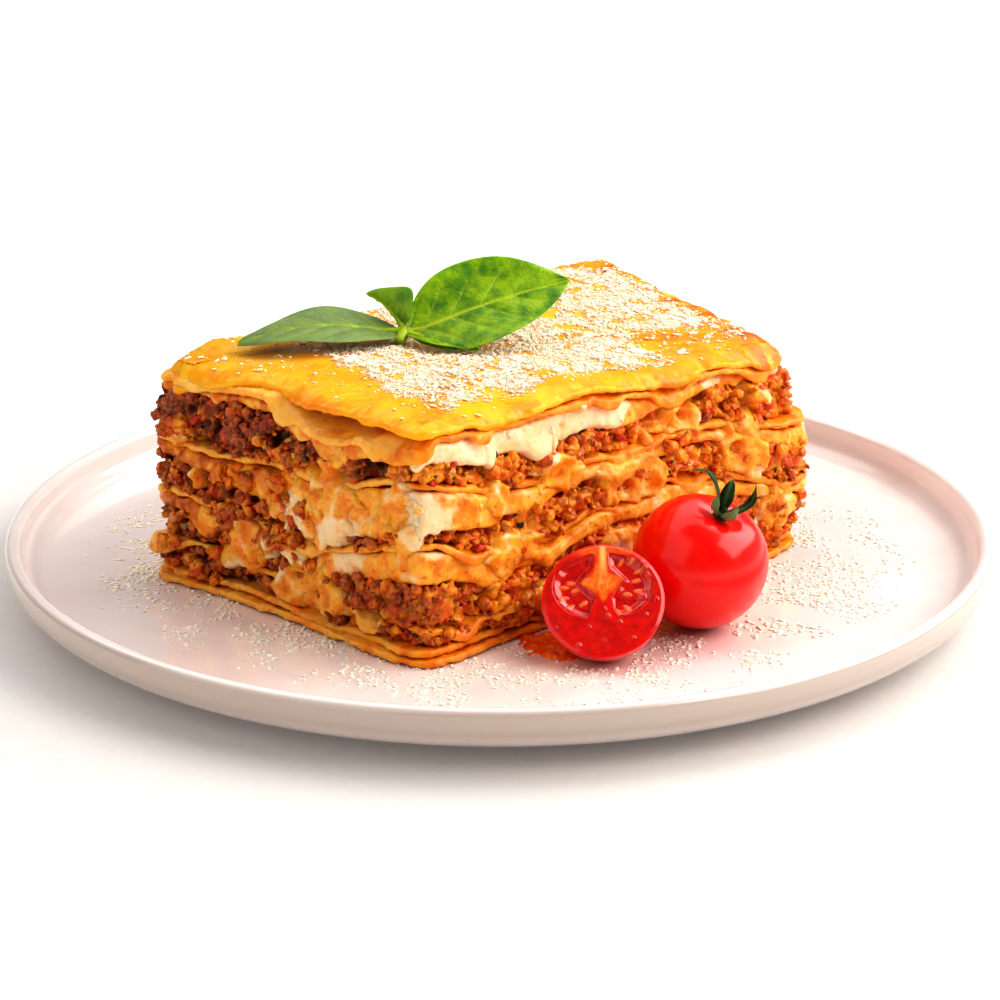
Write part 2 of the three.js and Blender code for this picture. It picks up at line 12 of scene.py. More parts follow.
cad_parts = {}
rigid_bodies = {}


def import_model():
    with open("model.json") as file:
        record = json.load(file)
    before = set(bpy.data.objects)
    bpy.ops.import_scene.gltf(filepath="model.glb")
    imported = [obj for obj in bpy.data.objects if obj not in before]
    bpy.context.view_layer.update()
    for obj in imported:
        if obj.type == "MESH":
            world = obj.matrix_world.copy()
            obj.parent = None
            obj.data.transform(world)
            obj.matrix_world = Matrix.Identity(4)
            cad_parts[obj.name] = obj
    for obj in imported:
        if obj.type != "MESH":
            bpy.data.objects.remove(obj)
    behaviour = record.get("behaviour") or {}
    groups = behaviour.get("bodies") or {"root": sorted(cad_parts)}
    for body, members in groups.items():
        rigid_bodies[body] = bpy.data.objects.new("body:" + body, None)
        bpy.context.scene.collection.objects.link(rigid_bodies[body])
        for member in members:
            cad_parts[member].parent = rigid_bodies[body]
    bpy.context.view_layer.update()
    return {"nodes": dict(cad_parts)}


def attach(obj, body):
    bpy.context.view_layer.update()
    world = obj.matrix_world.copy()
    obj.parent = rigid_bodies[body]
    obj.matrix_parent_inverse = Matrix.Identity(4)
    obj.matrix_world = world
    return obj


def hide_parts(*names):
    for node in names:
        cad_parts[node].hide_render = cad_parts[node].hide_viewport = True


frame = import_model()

bl_info = {
    "name": "Plate of Lasagna",
    "version": (1, 0, 0),
    "blender": (4, 5, 0),
    "location": "View3D > Sidebar > Lasagna",
    "description": "Builds a slice of lasagna on its plate, with basil and cherry tomatoes",
    "category": "Add Mesh",
}

# Lengths are in millimetres here, and every mesh is made in metres.
MM = 0.001
SHEETS = [f"pasta_sheet_{number}" for number in range(1, 8)]
MEATS = [f"meat_sauce_{number}" for number in range(1, 5)]
BECHAMELS = [f"bechamel_{number}" for number in range(1, 4)]
LEFT_CORNER, FRONT_CORNER, RIGHT_CORNER, BACK_CORNER = (-80, -16), (-17, -76), (68, 4), (26, 64)
CORNERS = [LEFT_CORNER, FRONT_CORNER, RIGHT_CORNER, BACK_CORNER]
WELL_FLOOR = 7.0


def linear(code):
    """An sRGB hex colour as linear red, green and blue."""
    parts = [int(code[at:at + 2], 16) / 255 for at in (1, 3, 5)]
    return tuple(p / 12.92 if p <= 0.04045 else ((p + 0.055) / 1.055) ** 2.4 for p in parts)


def smoothstep(low, high, value):
    share = np.clip((value - low) / (high - low), 0, 1)
    return share * share * (3 - 2 * share)


# Noise in space, so that one pattern runs on from each layer to the next

def mixed_bits(cells, seed):
    """One well mixed whole number for each grid cell."""
    x, y, z = (cells[..., axis].astype(np.uint32) for axis in range(3))
    bits = x * np.uint32(374761393) ^ y * np.uint32(668265263) ^ z * np.uint32(2246822519)
    bits ^= np.uint32((seed * 3266489917) % 2**32)
    bits = (bits ^ (bits >> np.uint32(15))) * np.uint32(2246822519)
    bits = (bits ^ (bits >> np.uint32(13))) * np.uint32(3266489917)
    return bits ^ (bits >> np.uint32(16))


def cell_random(cells, seed):
    return mixed_bits(cells, seed).astype(np.float64) / 2**32


def bumps(points, size, seed):
    """Smooth noise from about -1 to 1, with hills about size apart."""
    scaled = points / size + seed * 7.37
    cells = np.floor(scaled).astype(np.int64)
    part = scaled - cells
    fade = part**3 * (part * (part * 6 - 15) + 10)
    total = np.zeros(points.shape[:-1])
    for corner in product((0, 1), repeat=3):
        at = cells + corner
        angle = cell_random(at, seed) * 2 * pi
        height = cell_random(at, seed + 101) * 2 - 1
        flat = np.sqrt(1 - height**2)
        away = part - corner
        slope = away[..., 0] * np.cos(angle) * flat + away[..., 1] * np.sin(angle) * flat
        weight = np.prod(np.where(corner, fade, 1 - fade), axis=-1)
        total += weight * (slope + away[..., 2] * height)
    return total * 1.6


def layered_bumps(points, size, seed, octaves=3):
    """Noise with finer and fainter hills on its hills."""
    return sum(bumps(points, size / 2**n, seed + 13 * n) * 0.5**n for n in range(octaves))


def lumps(points, size, seed):
    """Round lumps about size across: how far the nearest middle and the next lie, and a random share."""
    scaled = points / size
    cells = np.floor(scaled).astype(np.int64)
    nearest = np.full(points.shape[:-1], 9.0)
    second = nearest.copy()
    share = np.zeros(points.shape[:-1])
    for step in product((-1, 0, 1), repeat=3):
        at = cells + step
        middle = at + np.stack([0.1 + 0.8 * cell_random(at, seed + axis) for axis in range(3)], axis=-1)
        away = np.linalg.norm(scaled - middle, axis=-1)
        closer = away < nearest
        second = np.where(closer, nearest, np.minimum(second, away))
        share = np.where(closer, cell_random(at, seed + 77), share)
        nearest = np.where(closer, away, nearest)
    return nearest, second, share


# Meshes

def mesh_of(name, points, quads=(), triangles=(), masks=None):
    """A smooth mesh from points in millimetres, with one float attribute for each mask."""
    quads = np.asarray(quads, np.int32).reshape(-1, 4)
    triangles = np.asarray(triangles, np.int32).reshape(-1, 3)
    corners = np.concatenate([quads.ravel(), triangles.ravel()])
    starts = np.concatenate([np.arange(len(quads)) * 4, len(quads) * 4 + np.arange(len(triangles)) * 3])
    mesh = bpy.data.meshes.new(name)
    mesh.vertices.add(len(points))
    mesh.vertices.foreach_set("co", (np.asarray(points) * MM).astype(np.float32).ravel())
    mesh.loops.add(len(corners))
    mesh.loops.foreach_set("vertex_index", corners)
    mesh.polygons.add(len(starts))
    mesh.polygons.foreach_set("loop_start", starts.astype(np.int32))
    mesh.polygons.foreach_set("use_smooth", np.ones(len(starts), bool))
    mesh.update(calc_edges=True)
    for mask, values in (masks or {}).items():
        layer = mesh.attributes.new(mask, "FLOAT", "POINT")
        layer.data.foreach_set("value", np.asarray(values, np.float32).ravel())
    return mesh


def add_piece(name, part, material, replaces=()):
    """Shows a part as a piece of the object, in place of the CAD nodes that it stands for."""
    mesh = mesh_of(name, *part)
    mesh.materials.append(material)
    piece = bpy.data.objects.new(name, mesh)
    bpy.context.scene.collection.objects.link(piece)
    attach(piece, "root")
    if replaces:
        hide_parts(*replaces)
    return piece


def points_at(x, y, z=0.0):
    """Points from their coordinates, which may be the same for all."""
    return np.stack(np.broadcast_arrays(x, y, z), -1)


def closed_rings(grid, ends):
    """Rows of points that run round, closed by a fan from the first and the last row to an end each."""
    rows, around, _ = grid.shape
    here = np.arange(around)
    after = (here + 1) % around
    start = np.arange(rows - 1)[:, None] * around
    last = (rows - 1) * around
    quads = np.stack([start + here, start + after, start + around + after, start + around + here], -1)
    first_fan = np.stack([np.full(around, rows * around), after, here], -1)
    last_fan = np.stack([np.full(around, rows * around + 1), last + here, last + after], -1)
    points = np.concatenate([grid.reshape(-1, 3), ends])
    return points, quads.reshape(-1, 4), np.concatenate([first_fan, last_fan])


def closed_sheet(upper, lower, kept=None):
    """Two grids of points, one behind the other, closed into one shape. kept picks the quads it has."""
    count = upper.shape[0] * upper.shape[1]
    grid = np.arange(count).reshape(upper.shape[:2])
    quads = np.stack([grid[:-1, :-1], grid[1:, :-1], grid[1:, 1:], grid[:-1, 1:]], -1)
    quads = quads.reshape(-1, 4) if kept is None else quads[kept]
    edges = np.concatenate([quads[:, [corner, (corner + 1) % 4]] for corner in range(4)])
    names = edges.min(axis=1) * count + edges.max(axis=1)
    _, first, uses = np.unique(names, return_index=True, return_counts=True)
    start, end = edges[first[uses == 1]].T
    wall = np.stack([start, start + count, end + count, end], -1)
    return np.concatenate([upper.reshape(-1, 3), lower.reshape(-1, 3)]), np.concatenate(
        [quads, quads[:, ::-1] + count, wall])


def joined(parts):
    """Joins (points, quads, triangles, masks) parts into one."""
    points, quads, triangles, masks = [], [], [], {}
    count = 0
    for part_points, part_quads, part_triangles, part_masks in parts:
        points.append(part_points)
        quads.append(np.asarray(part_quads, np.int64).reshape(-1, 4) + count)
        triangles.append(np.asarray(part_triangles, np.int64).reshape(-1, 3) + count)
        for mask, values in part_masks.items():
            masks.setdefault(mask, []).append(np.asarray(values).ravel())
        count += len(part_points)
    merged = {mask: np.concatenate(values) for mask, values in masks.items()}
    return np.concatenate(points), np.concatenate(quads), np.concatenate(triangles), merged


def ball(detail):
    """Points and triangles of a ball with even faces."""
    shape = bmesh.new()
    bmesh.ops.create_icosphere(shape, subdivisions=detail, radius=1)
    points = np.array([vertex.co[:] for vertex in shape.verts])
    triangles = np.array([[vertex.index for vertex in face.verts] for face in shape.faces])
    shape.free()
    return points, triangles


def random_turns(random, count):
    """Rotation matrices in all directions."""
    w, x, y, z = random.normal(size=(count, 4)).T
    length = np.sqrt(w * w + x * x + y * y + z * z)
    w, x, y, z = w / length, x / length, y / length, z / length
    return np.stack([
        np.stack([1 - 2 * (y * y + z * z), 2 * (x * y - z * w), 2 * (x * z + y * w)], -1),
        np.stack([2 * (x * y + z * w), 1 - 2 * (x * x + z * z), 2 * (y * z - x * w)], -1),
        np.stack([2 * (x * z - y * w), 2 * (y * z + x * w), 1 - 2 * (x * x + y * y)], -1),
    ], -2)


def scattered(shape, centres, sizes, turns, uneven, random):
    """Copies of one shape at many places. Each has its own three half-lengths and turn, and its points
    are moved in and out at random by the uneven share."""
    points, triangles = shape
    reach = 1 + uneven * random.uniform(-1, 1, (len(centres), len(points), 1))
    shaped = points[None] * reach * sizes[:, None, :]
    placed = np.einsum("nij,nkj->nki", turns, shaped) + centres[:, None, :]
    offsets = np.arange(len(centres))[:, None, None] * len(points)
    return placed.reshape(-1, 3), (triangles[None] + offsets).reshape(-1, 3)


# The slice's outline and what the CAD layers measure along it

def corner_rounding(number, rounding):
    """The middle of a corner's arc, and the outward directions of the two sides that meet there."""
    corner, before, after = (np.array(CORNERS[(number + step) % 4], float) for step in (0, -1, 1))
    incoming = (corner - before) / np.linalg.norm(corner - before)
    leaving = (after - corner) / np.linalg.norm(after - corner)
    first, last = (np.array([way[1], -way[0]]) for way in (incoming, leaving))
    return corner - rounding * (first + last) / (1 + first @ last), first, last


def slice_outline(spacing, rounding):
    """Points round the slice with their outward directions, how far along they lie, and their places:
    0 to 3 at the left, front, right and back corner, and the numbers between on the sides."""
    points, outward, places = [], [], []
    steps = max(4, round(rounding * 1.6 / spacing))
    for number in range(4):
        middle, first, last = corner_rounding(number, rounding)
        for share in np.linspace(0, 1, steps):
            facing = first * (1 - share) + last * share
            facing /= np.linalg.norm(facing)
            points.append(middle + facing * rounding)
            outward.append(facing)
            places.append(number)
        start = points[-1]
        end = corner_rounding(number + 1, rounding)[0] + last * rounding
        between = max(2, round(np.linalg.norm(end - start) / spacing))
        for share in np.arange(1, between) / between:
            points.append(start * (1 - share) + end * share)
            outward.append(last)
            places.append(number + share)
    points, outward = np.array(points), np.array(outward)
    along = np.concatenate([[0], np.cumsum(np.linalg.norm(np.diff(points, axis=0), axis=1))])
    return {"points": points, "outward": outward, "along": along, "place": np.array(places)}


def apart_from(outline, place):
    """How far each point lies along the outline from a place, such as 0.5 for the left side's middle."""
    along = outline["along"]
    apart = np.abs(along - np.interp(place, outline["place"], along))
    return np.minimum(apart, along[-1] - apart)


def near_place(outline, place, width):
    """1 at one place on the outline, fading in width mm."""
    return np.exp(-((apart_from(outline, place) / width) ** 2))


def outline_bumps(outline, size, seed):
    """Noise along the outline, different for each seed."""
    flat = np.column_stack([outline["points"], np.full(len(outline["points"]), 31.7 * seed)])
    return bumps(flat, size, seed)


def smooth_round(values, width):
    """Values round a closed line, each blended with its neighbours width points away."""
    reach = int(width * 3)
    weights = np.exp(-0.5 * (np.arange(-reach, reach + 1) / width) ** 2)
    padded = np.concatenate([values[-reach:], values, values[:reach]])
    return np.convolve(padded, weights / weights.sum(), mode="valid")


def tree_of(node):
    mesh = frame["nodes"][node].data
    points = [tuple(vertex.co / MM) for vertex in mesh.vertices]
    return BVHTree.FromPolygons(points, [tuple(face.vertices) for face in mesh.polygons])


def layer_edge(node, outline):
    """How a CAD layer runs along the outline: its two faces' heights at the outline, the slopes with
    which they go outward, and how far out its edge stands."""
    tree = tree_of(node)
    step = 3
    deep, shallow, outside = 6.0, 4.4, 16.0
    picked = np.arange(0, len(outline["points"]), step)
    rows = []
    for index in picked:
        point, facing = outline["points"][index], outline["outward"][index]
        faces = []
        for inset in (deep, shallow):
            x, y = point - facing * inset
            bottom = tree.ray_cast(Vector((x, y, -50)), Vector((0, 0, 1)))[0]
            top = tree.ray_cast(Vector((x, y, 200)), Vector((0, 0, -1)))[0]
            faces.append((bottom.z, top.z))
        slopes = [(faces[1][side] - faces[0][side]) / (deep - shallow) for side in (0, 1)]
        heights = [faces[0][side] + slopes[side] * deep for side in (0, 1)]
        slope = sum(slopes) / 2
        start = Vector((*(point + facing * outside), sum(heights) / 2 + slope * outside))
        hit = tree.ray_cast(start, Vector((*(-facing), -slope)).normalized())[0]
        edge = (np.array(hit[:2]) - point) @ facing if hit else 0.0
        rows.append([heights[0], heights[1], slopes[0], slopes[1], edge])
    rows = np.array(rows)
    full = np.arange(len(outline["points"]))
    columns = [np.interp(full, picked, rows[:, column], period=len(full)) for column in range(5)]
    low, high, low_slope, high_slope, edge = (smooth_round(column, 4) for column in columns)
    return {"low": low, "high": high, "low_slope": low_slope, "high_slope": high_slope, "edge": edge}


# Rows of points on the edge of a boiled sheet, a band of white sauce and a layer of mince
SHEET_ROWS, BAND_ROWS, MINCE_ROWS = 9, 18, 28


def shell_rows(side_rows):
    """Rows across a layer's edge, from the inside of its bottom face round to the inside of its top
    face: how far in each lies, and its turn from -1 at the bottom to 1 at the top."""
    insets = [9, 5, 3, 1.8, 1, 0.5, 0.2]
    turns = np.sin(np.linspace(-pi / 2, pi / 2, side_rows) * 0.98)
    inset = np.array(insets + [0] * side_rows + insets[::-1], float)
    turn = np.concatenate([np.full(len(insets), -1), turns, np.full(len(insets), 1)])
    return inset, turn


def shell_points(outline, edge, rounding, side_rows, stand=0.0, hang=0.0, drip=0.0):
    """A layer's edge as rows of points round the outline. stand moves the edge outward, hang lets
    its last 4 mm droop, and drip draws its lower part down over the layers below."""
    inset, turn = shell_rows(side_rows)
    inset, turn = inset[:, None], turn[:, None]
    low_part = (1 - smoothstep(0, 1.6, inset)) * smoothstep(0.6, -0.9, turn)
    reach = edge["edge"] + stand + low_part * smoothstep(0, 2, drip) * 1.1
    height = edge["high"] - edge["low"]
    radius = np.minimum(rounding, height / 2)
    straight = 1 - 2 * radius / height
    bent = np.clip((np.abs(turn) - straight) / (1 - straight), 0, 1)
    out = reach - radius * (1 - np.sqrt(1 - bent**2)) - inset
    low = edge["low"] + edge["low_slope"] * out
    high = edge["high"] + edge["high_slope"] * out
    z = low + (high - low) * (turn + 1) / 2 - hang * smoothstep(-4, 0, out - reach) - drip * low_part
    z = np.maximum(z, WELL_FLOOR + 0.1)
    flat = outline["points"][None] + outline["outward"][None] * out[..., None]
    return np.concatenate([flat, z[..., None]], -1)


def normals_of(grid):
    """Outward directions on rows of points that close on themselves."""
    around = np.roll(grid, -1, axis=1) - np.roll(grid, 1, axis=1)
    across = np.gradient(grid, axis=0)
    normal = np.cross(around, across)
    return normal / np.maximum(np.linalg.norm(normal, axis=-1, keepdims=True), 1e-9)


def raised(grid, normals, relief, side_rows):
    """A layer's rows moved outward by a relief, which fades away inside the slice."""
    inset, _ = shell_rows(side_rows)
    return grid + normals * (relief * (1 - smoothstep(1.5, 6, inset))[:, None])[..., None]


def closed_shell(grid, masks):
    """Closes a layer's rows inside the slice, and carries its masks to the two middles."""
    middles = np.stack([grid[0].mean(axis=0), grid[-1].mean(axis=0)]) - (0, 0, 2)
    full = {name: np.concatenate([np.ravel(values), [0, 0]]) for name, values in masks.items()}
    return *closed_rings(grid, middles), full


# Materials

def colour(code):
    return (*linear(code), 1)


def add_node(tree, kind, inputs=None, **settings):
    """Adds a shader node with its settings. Each input is a value, or the node or output linked to it."""
    node = tree.nodes.new("ShaderNode" + kind)
    for name, value in settings.items():
        setattr(node, name, value)
    for socket, value in (inputs or {}).items():
        if isinstance(value, bpy.types.Node):
            value = next(output for output in value.outputs if output.enabled)
        if isinstance(value, bpy.types.NodeSocket):
            tree.links.new(value, node.inputs[socket])
        else:
            node.inputs[socket].default_value = value
    return node


def empty_material(name):
    """A material with no nodes yet, its tree, and the object's own coordinates."""
    material = bpy.data.materials.new(name)
    material.use_nodes = True
    tree = material.node_tree
    tree.nodes.clear()
    return material, tree, add_node(tree, "TexCoord").outputs["Object"]


def patches(tree, place, size, low, high, most=1.0, **look):
    """Patches about size mm across: their share from 0 to most, and the noise that they come from."""
    noise = add_node(tree, "TexNoise", {"Vector": place, "Scale": 1 / (size * MM), "Detail": 3, **look})
    return add_node(tree, "MapRange", {0: noise, 1: low, 2: high, 4: most}), noise


def sauce_patches(tree, place):
    """Where orange sauce has soaked in: one pattern that runs on over pasta, meat and white sauce."""
    field = add_node(
        tree, "TexNoise", {"Vector": place, "Scale": 1 / (8 * MM), "Detail": 5, "Roughness": 0.62})
    sauced = add_node(tree, "Attribute", attribute_name="sauced")
    # The sauced mask lifts the pattern; on the sheets and the mince it carries painted side light as well as
    # sauce.
    lifted = add_node(tree, "Math", {0: sauced, 1: 0.3, 2: field}, operation="MULTIPLY_ADD")
    return add_node(tree, "MapRange", {0: lifted, 1: 0.52, 2: 0.8}, interpolation_type="SMOOTHSTEP")


def finish_material(tree, tone, layers, reliefs, roughness, ior, specular=0.5, coat=(0, 0.03),
                    inner=(0, (1, 1, 1)), more=None):
    """Ends a material. layers lie over the first tone: each is a share, or the name of a mesh's mask,
    and its colour. reliefs are heights with their depth in mm, coat is the clear coat's weight and
    roughness, and inner the share of light that goes in and how many mm its red, green and blue go."""
    for share, over in layers:
        if isinstance(share, str):
            share = add_node(tree, "Attribute", attribute_name=share)
        over = colour(over) if isinstance(over, str) else over
        tone = add_node(tree, "Mix", {0: share, 6: tone, 7: over}, data_type="RGBA")
    lower = {}
    for height, depth in reliefs:
        relief = add_node(tree, "Bump", {"Height": height, "Distance": depth * MM, **lower})
        lower = {"Normal": relief}
    weight, reach = inner
    shader = add_node(tree, "BsdfPrincipled", {
        "Base Color": tone,
        "Roughness": roughness,
        "IOR": ior,
        "Specular IOR Level": specular,
        "Coat Weight": coat[0],
        "Coat Roughness": coat[1],
        "Subsurface Weight": weight,
        "Subsurface Radius": [length * MM for length in reach],
        "Subsurface Scale": 1.0,
        **lower,
        **(more or {}),
    })
    add_node(tree, "OutputMaterial", {"Surface": shader})


def glaze_material(settings):
    # Stoneware under a pinkish-white glaze: pale and smooth, with sharp soft-box reflections. Its outer
    # wall is painted a darker beige: painted shade for the shade that the wall stands in.
    material, tree, place = empty_material("Glazed stoneware, dipped and fired")
    cloudy, _ = patches(tree, place, 26, 0.3, 0.7)
    specked, _ = patches(tree, place, 0.9, 0.7, 0.82, 0.3, Detail=1)
    ripple = add_node(tree, "TexNoise", {"Vector": place, "Scale": 1 / (14 * MM), "Detail": 1})
    # Painted shade: faces that point away from the plate's axis, on its outer wall, are mixed towards darker
    # beige.
    facing = add_node(tree, "NewGeometry").outputs["Normal"]
    outward = add_node(tree, "VectorMath", {0: facing, 1: place}, operation="DOT_PRODUCT").outputs["Value"]
    thin = add_node(tree, "MapRange", {0: outward, 1: 0.05, 2: 0.105, 4: 0.9})
    layers = [(cloudy, "#ECDDD8"), (specked, "#BFA394"), (thin, "#C4B2A6")]
    white = (*settings.plate_colour, 1)
    finish_material(
        tree, white, layers, [(ripple, 0.05)], 0.22, 1.52, coat=(0.7, 0.06), inner=(0.06, (4, 3, 2)))
    return material


def pasta_material(settings):
    # Boiled egg pasta soaked in sauce: waxy yellow that glows at its edges, with orange stains.
    material, tree, place = empty_material("Egg pasta sheets, boiled and baked in sauce")
    cloudy, cloud = patches(tree, place, 4, 0.35, 0.65)
    flecked, _ = patches(tree, place, 2.4, 0.58, 0.74, 0.6, Detail=4, Roughness=0.65)
    grain = add_node(tree, "TexNoise", {"Vector": place, "Scale": 1 / (0.8 * MM), "Detail": 3})
    soaked = add_node(tree, "Mix", {0: cloudy, 6: colour("#F4A22A"), 7: colour("#E47C16")}, data_type="RGBA")
    layers = [(cloudy, "#F8C666"), (sauce_patches(tree, place), soaked), (flecked, "#B04A0A")]
    reliefs = [(grain, 0.12), (cloud, 0.4)]
    dough = (*settings.pasta_colour, 1)
    finish_material(
        tree, dough, layers, reliefs, 0.45, 1.45, 0.3, coat=(0.25, 0.15), inner=(0.35, (2.4, 1.2, 0.5)))
    return material


def top_material(settings):
    # Egg pasta under hot butter and fat: deep yellow with a wet shine, browned where it stands up.
    material, tree, place = empty_material("Top pasta sheet, baked and glazed with butter")
    cloudy, _ = patches(tree, place, 9, 0.36, 0.66, Detail=4, Roughness=0.55)
    ambered, amber = patches(tree, place, 5, 0.55, 0.72, 0.7, Detail=4, Roughness=0.6)
    grain = add_node(tree, "TexNoise", {"Vector": place, "Scale": 1 / (1.1 * MM), "Detail": 3})
    powder = add_node(tree, "TexNoise", {"Vector": place, "Scale": 1 / (0.9 * MM), "Detail": 3})
    cheesy = add_node(tree, "Attribute", attribute_name="cheesy")
    piled = add_node(tree, "Math", {0: cheesy, 1: 0.5, 2: powder}, operation="MULTIPLY_ADD")
    powdered = add_node(tree, "MapRange", {0: piled, 1: 0.72, 2: 0.86})
    layers = [(cloudy, "#FDBC16"), (ambered, "#EE8C06"), ("browned", "#DA6208"), (powdered, "#FCE2C6")]
    reliefs = [(grain, 0.08), (powdered, 0.3), (amber, 0.5)]
    yolk = (*settings.top_colour, 1)
    finish_material(
        tree, yolk, layers, reliefs, 0.4, 1.46, 0.3, coat=(0.22, 0.1), inner=(0.3, (3, 1.4, 0.4)))
    return material


def meat_material(settings):
    # Fried mince stewed in tomato and oil: brown crumbs in an oily orange coat. The dark gaps between them
    # are painted shade.
    material, tree, place = empty_material("Minced meat, fried and stewed in tomato")
    grained, _ = patches(tree, place, 0.9, 0.35, 0.7)
    ripened, _ = patches(tree, place, 3.2, 0.4, 0.6)
    fatty, fibre = patches(tree, place, 0.8, 0.6, 0.72, 0.5, Detail=4, Roughness=0.65)
    sauce = add_node(tree, "Mix", {0: ripened, 6: colour("#F8A220"), 7: colour("#E8640C")}, data_type="RGBA")
    layers = [
        ("crumb", "#D07A34"),
        (grained, "#7C2406"),
        (sauce_patches(tree, place), sauce),
        # Painted shade: near-black wherever the deep mask is strong, in the pits and hollows of the mince.
        ("deep", "#2E0802"),
        ("tomato", "#C6340C"),
        ("onion", "#E29A50"),
        ("herb", "#2A2C0C"),
        (fatty, "#E89A50"),
    ]
    brown = (*settings.meat_colour, 1)
    finish_material(
        tree, brown, layers, [(fibre, 0.5)], 0.45, 1.45, 0.3, coat=(0.5, 0.12),
        inner=(0.08, (1.2, 0.4, 0.2)))
    return material


def white_sauce_material(settings):
    # Flour, butter and milk set in the oven: dense cream that lets light in, stained by tomato.
    material, tree, place = empty_material("White sauce, stirred and set in the oven")
    cloudy, _ = patches(tree, place, 5, 0.35, 0.65)
    oiled, grain = patches(tree, place, 1.6, 0.58, 0.74, 0.35)
    ripened, _ = patches(tree, place, 4, 0.42, 0.62, Detail=4)
    flecked, bits = patches(tree, place, 1.5, 0.57, 0.66, 0.7, Detail=4, Roughness=0.7)
    sauced = add_node(tree, "Attribute", attribute_name="sauced")
    stewed = add_node(tree, "MapRange", {0: sauced, 1: 1.3, 2: 2.0, 4: 0.9})
    stain = add_node(tree, "Mix", {0: ripened, 6: colour("#F8B440"), 7: colour("#EE8A18")}, data_type="RGBA")
    stain = add_node(tree, "Mix", {0: flecked, 6: stain, 7: colour("#BC5410")}, data_type="RGBA")
    stew = add_node(tree, "Mix", {0: ripened, 6: colour("#CE6A20"), 7: colour("#94380C")}, data_type="RGBA")
    layers = [(cloudy, "#F5CF98"), (sauce_patches(tree, place), stain), (stewed, stew), (oiled, "#E07818")]
    reliefs = [(grain, 0.18), (bits, 0.3)]
    cream = (*settings.white_sauce_colour, 1)
    finish_material(
        tree, cream, layers, reliefs, 0.38, 1.42, 0.35, coat=(0.25, 0.12), inner=(0.5, (3, 2, 1.1)))
    return material


def cheese_material(name, tone, shade):
    # Hard cheese rubbed on a fine grater: dry pinkish-white grains that scatter light.
    material, tree, place = empty_material(name)
    cloudy, _ = patches(tree, place, 1.7, 0.35, 0.65, Detail=2)
    grain = add_node(tree, "TexNoise", {"Vector": place, "Scale": 1 / (0.3 * MM), "Detail": 2})
    finish_material(
        tree, (*tone, 1), [(cloudy, shade)], [(grain, 0.05)], 0.6, 1.45, 0.25, inner=(0.2, (0.5, 0.4, 0.3)))
    return material


def leaf_material(settings):
    # A fresh basil leaf: satin green that light comes through, with yellow-green veins.
    material, tree, place = empty_material("Basil leaf, fresh")
    cloudy, _ = patches(tree, place, 4.5, 0.38, 0.62, Detail=4, Roughness=0.6)
    cells = add_node(
        tree, "TexVoronoi", {"Vector": place, "Scale": 1 / (1.5 * MM)}, feature="DISTANCE_TO_EDGE")
    blistered = add_node(tree, "MapRange", {0: cells, 1: 0.0, 2: 0.25})
    layers = [(cloudy, "#4E7E0C"), ("dull", "#7E8C62"), ("vein", "#BCCB3A")]
    reliefs = [(blistered, 0.07)]
    green = (*settings.leaf_colour, 1)
    finish_material(
        tree, green, layers, reliefs, 0.46, 1.45, 0.3, coat=(0.15, 0.25), inner=(0.3, (0.6, 1.4, 0.3)))
    return material


def tomato_material(settings):
    # Ripe tomato skin: saturated red under a thin wax that mirrors the soft box.
    material, tree, place = empty_material("Tomato skin, ripe and washed")
    cloudy, cloud = patches(tree, place, 7, 0.35, 0.65)
    specked, _ = patches(tree, place, 0.7, 0.66, 0.8, 0.25, Detail=1)
    layers = [(cloudy, "#EE1402"), (specked, "#F04010"), ("crown", "#E03008")]
    red = (*settings.tomato_colour, 1)
    finish_material(
        tree, red, layers, [(cloud, 0.1)], 0.42, 1.46, 0.12, coat=(0.8, 0.17), inner=(0.12, (4, 0.8, 0.4)))
    return material


def flesh_material(settings):
    # Tomato cut with a sharp knife: wet orange-red flesh, paler at the core and the ribs.
    material, tree, place = empty_material("Tomato flesh, freshly cut")
    cloudy, _ = patches(tree, place, 2, 0.35, 0.65)
    grained, grain = patches(tree, place, 0.9, 0.38, 0.66)
    heart = add_node(tree, "Mix", {0: grained, 6: colour("#F0641A"), 7: colour("#FA8E28")}, data_type="RGBA")
    red = (*settings.tomato_colour, 1)
    layers = [(cloudy, "#DA1602"), ("core", heart), ("pale", "#FFD080"), ("skin", red)]
    finish_material(
        tree, colour("#C00602"), layers, [(grain, 0.03)], 0.3, 1.36, coat=(0.8, 0.08),
        inner=(0.3, (3, 0.9, 0.5)))
    return material


def gel_material():
    # The gel round tomato seeds: clear wet orange-red, with pale yellow seeds under its shine.
    material, tree, place = empty_material("Tomato gel and seeds, wet")
    cloudy, cloud = patches(tree, place, 2.2, 0.35, 0.65)
    layers = [(cloudy, "#DC1C06"), ("seed", "#F67C1C")]
    finish_material(
        tree, colour("#B80402"), layers, [(cloud, 0.12)], 0.2, 1.35, coat=(1.0, 0.03),
        inner=(0.4, (3, 1, 0.4)))
    return material


def calyx_material():
    # The tomato's green star: matt, finely haired and paler along its ribs.
    material, tree, place = empty_material("Tomato calyx, fresh")
    cloudy, _ = patches(tree, place, 1.6, 0.35, 0.65)
    hair = add_node(tree, "TexNoise", {"Vector": place, "Scale": 1 / (0.4 * MM), "Detail": 3})
    layers = [(cloudy, "#2A4618"), ("dull", "#7E9260"), ("vein", "#8EA060")]
    finish_material(
        tree, colour("#10240A"), layers, [(hair, 0.08)], 0.6, 1.45, 0.25, inner=(0.12, (0.6, 1, 0.3)),
        more={"Sheen Weight": 0.1})
    return material


def smear_material():
    # Tomato sauce dragged thin over the glaze: red-orange with an oily shine.
    material, tree, place = empty_material("Tomato sauce, smeared thin")
    cloudy, cloud = patches(tree, place, 2, 0.35, 0.65)
    finish_material(
        tree, colour("#EA480E"), [(cloudy, "#F27E1C")], [(cloud, 0.12)], 0.18, 1.4, coat=(0.8, 0.05),
        inner=(0.3, (2, 0.6, 0.3)))
    return material


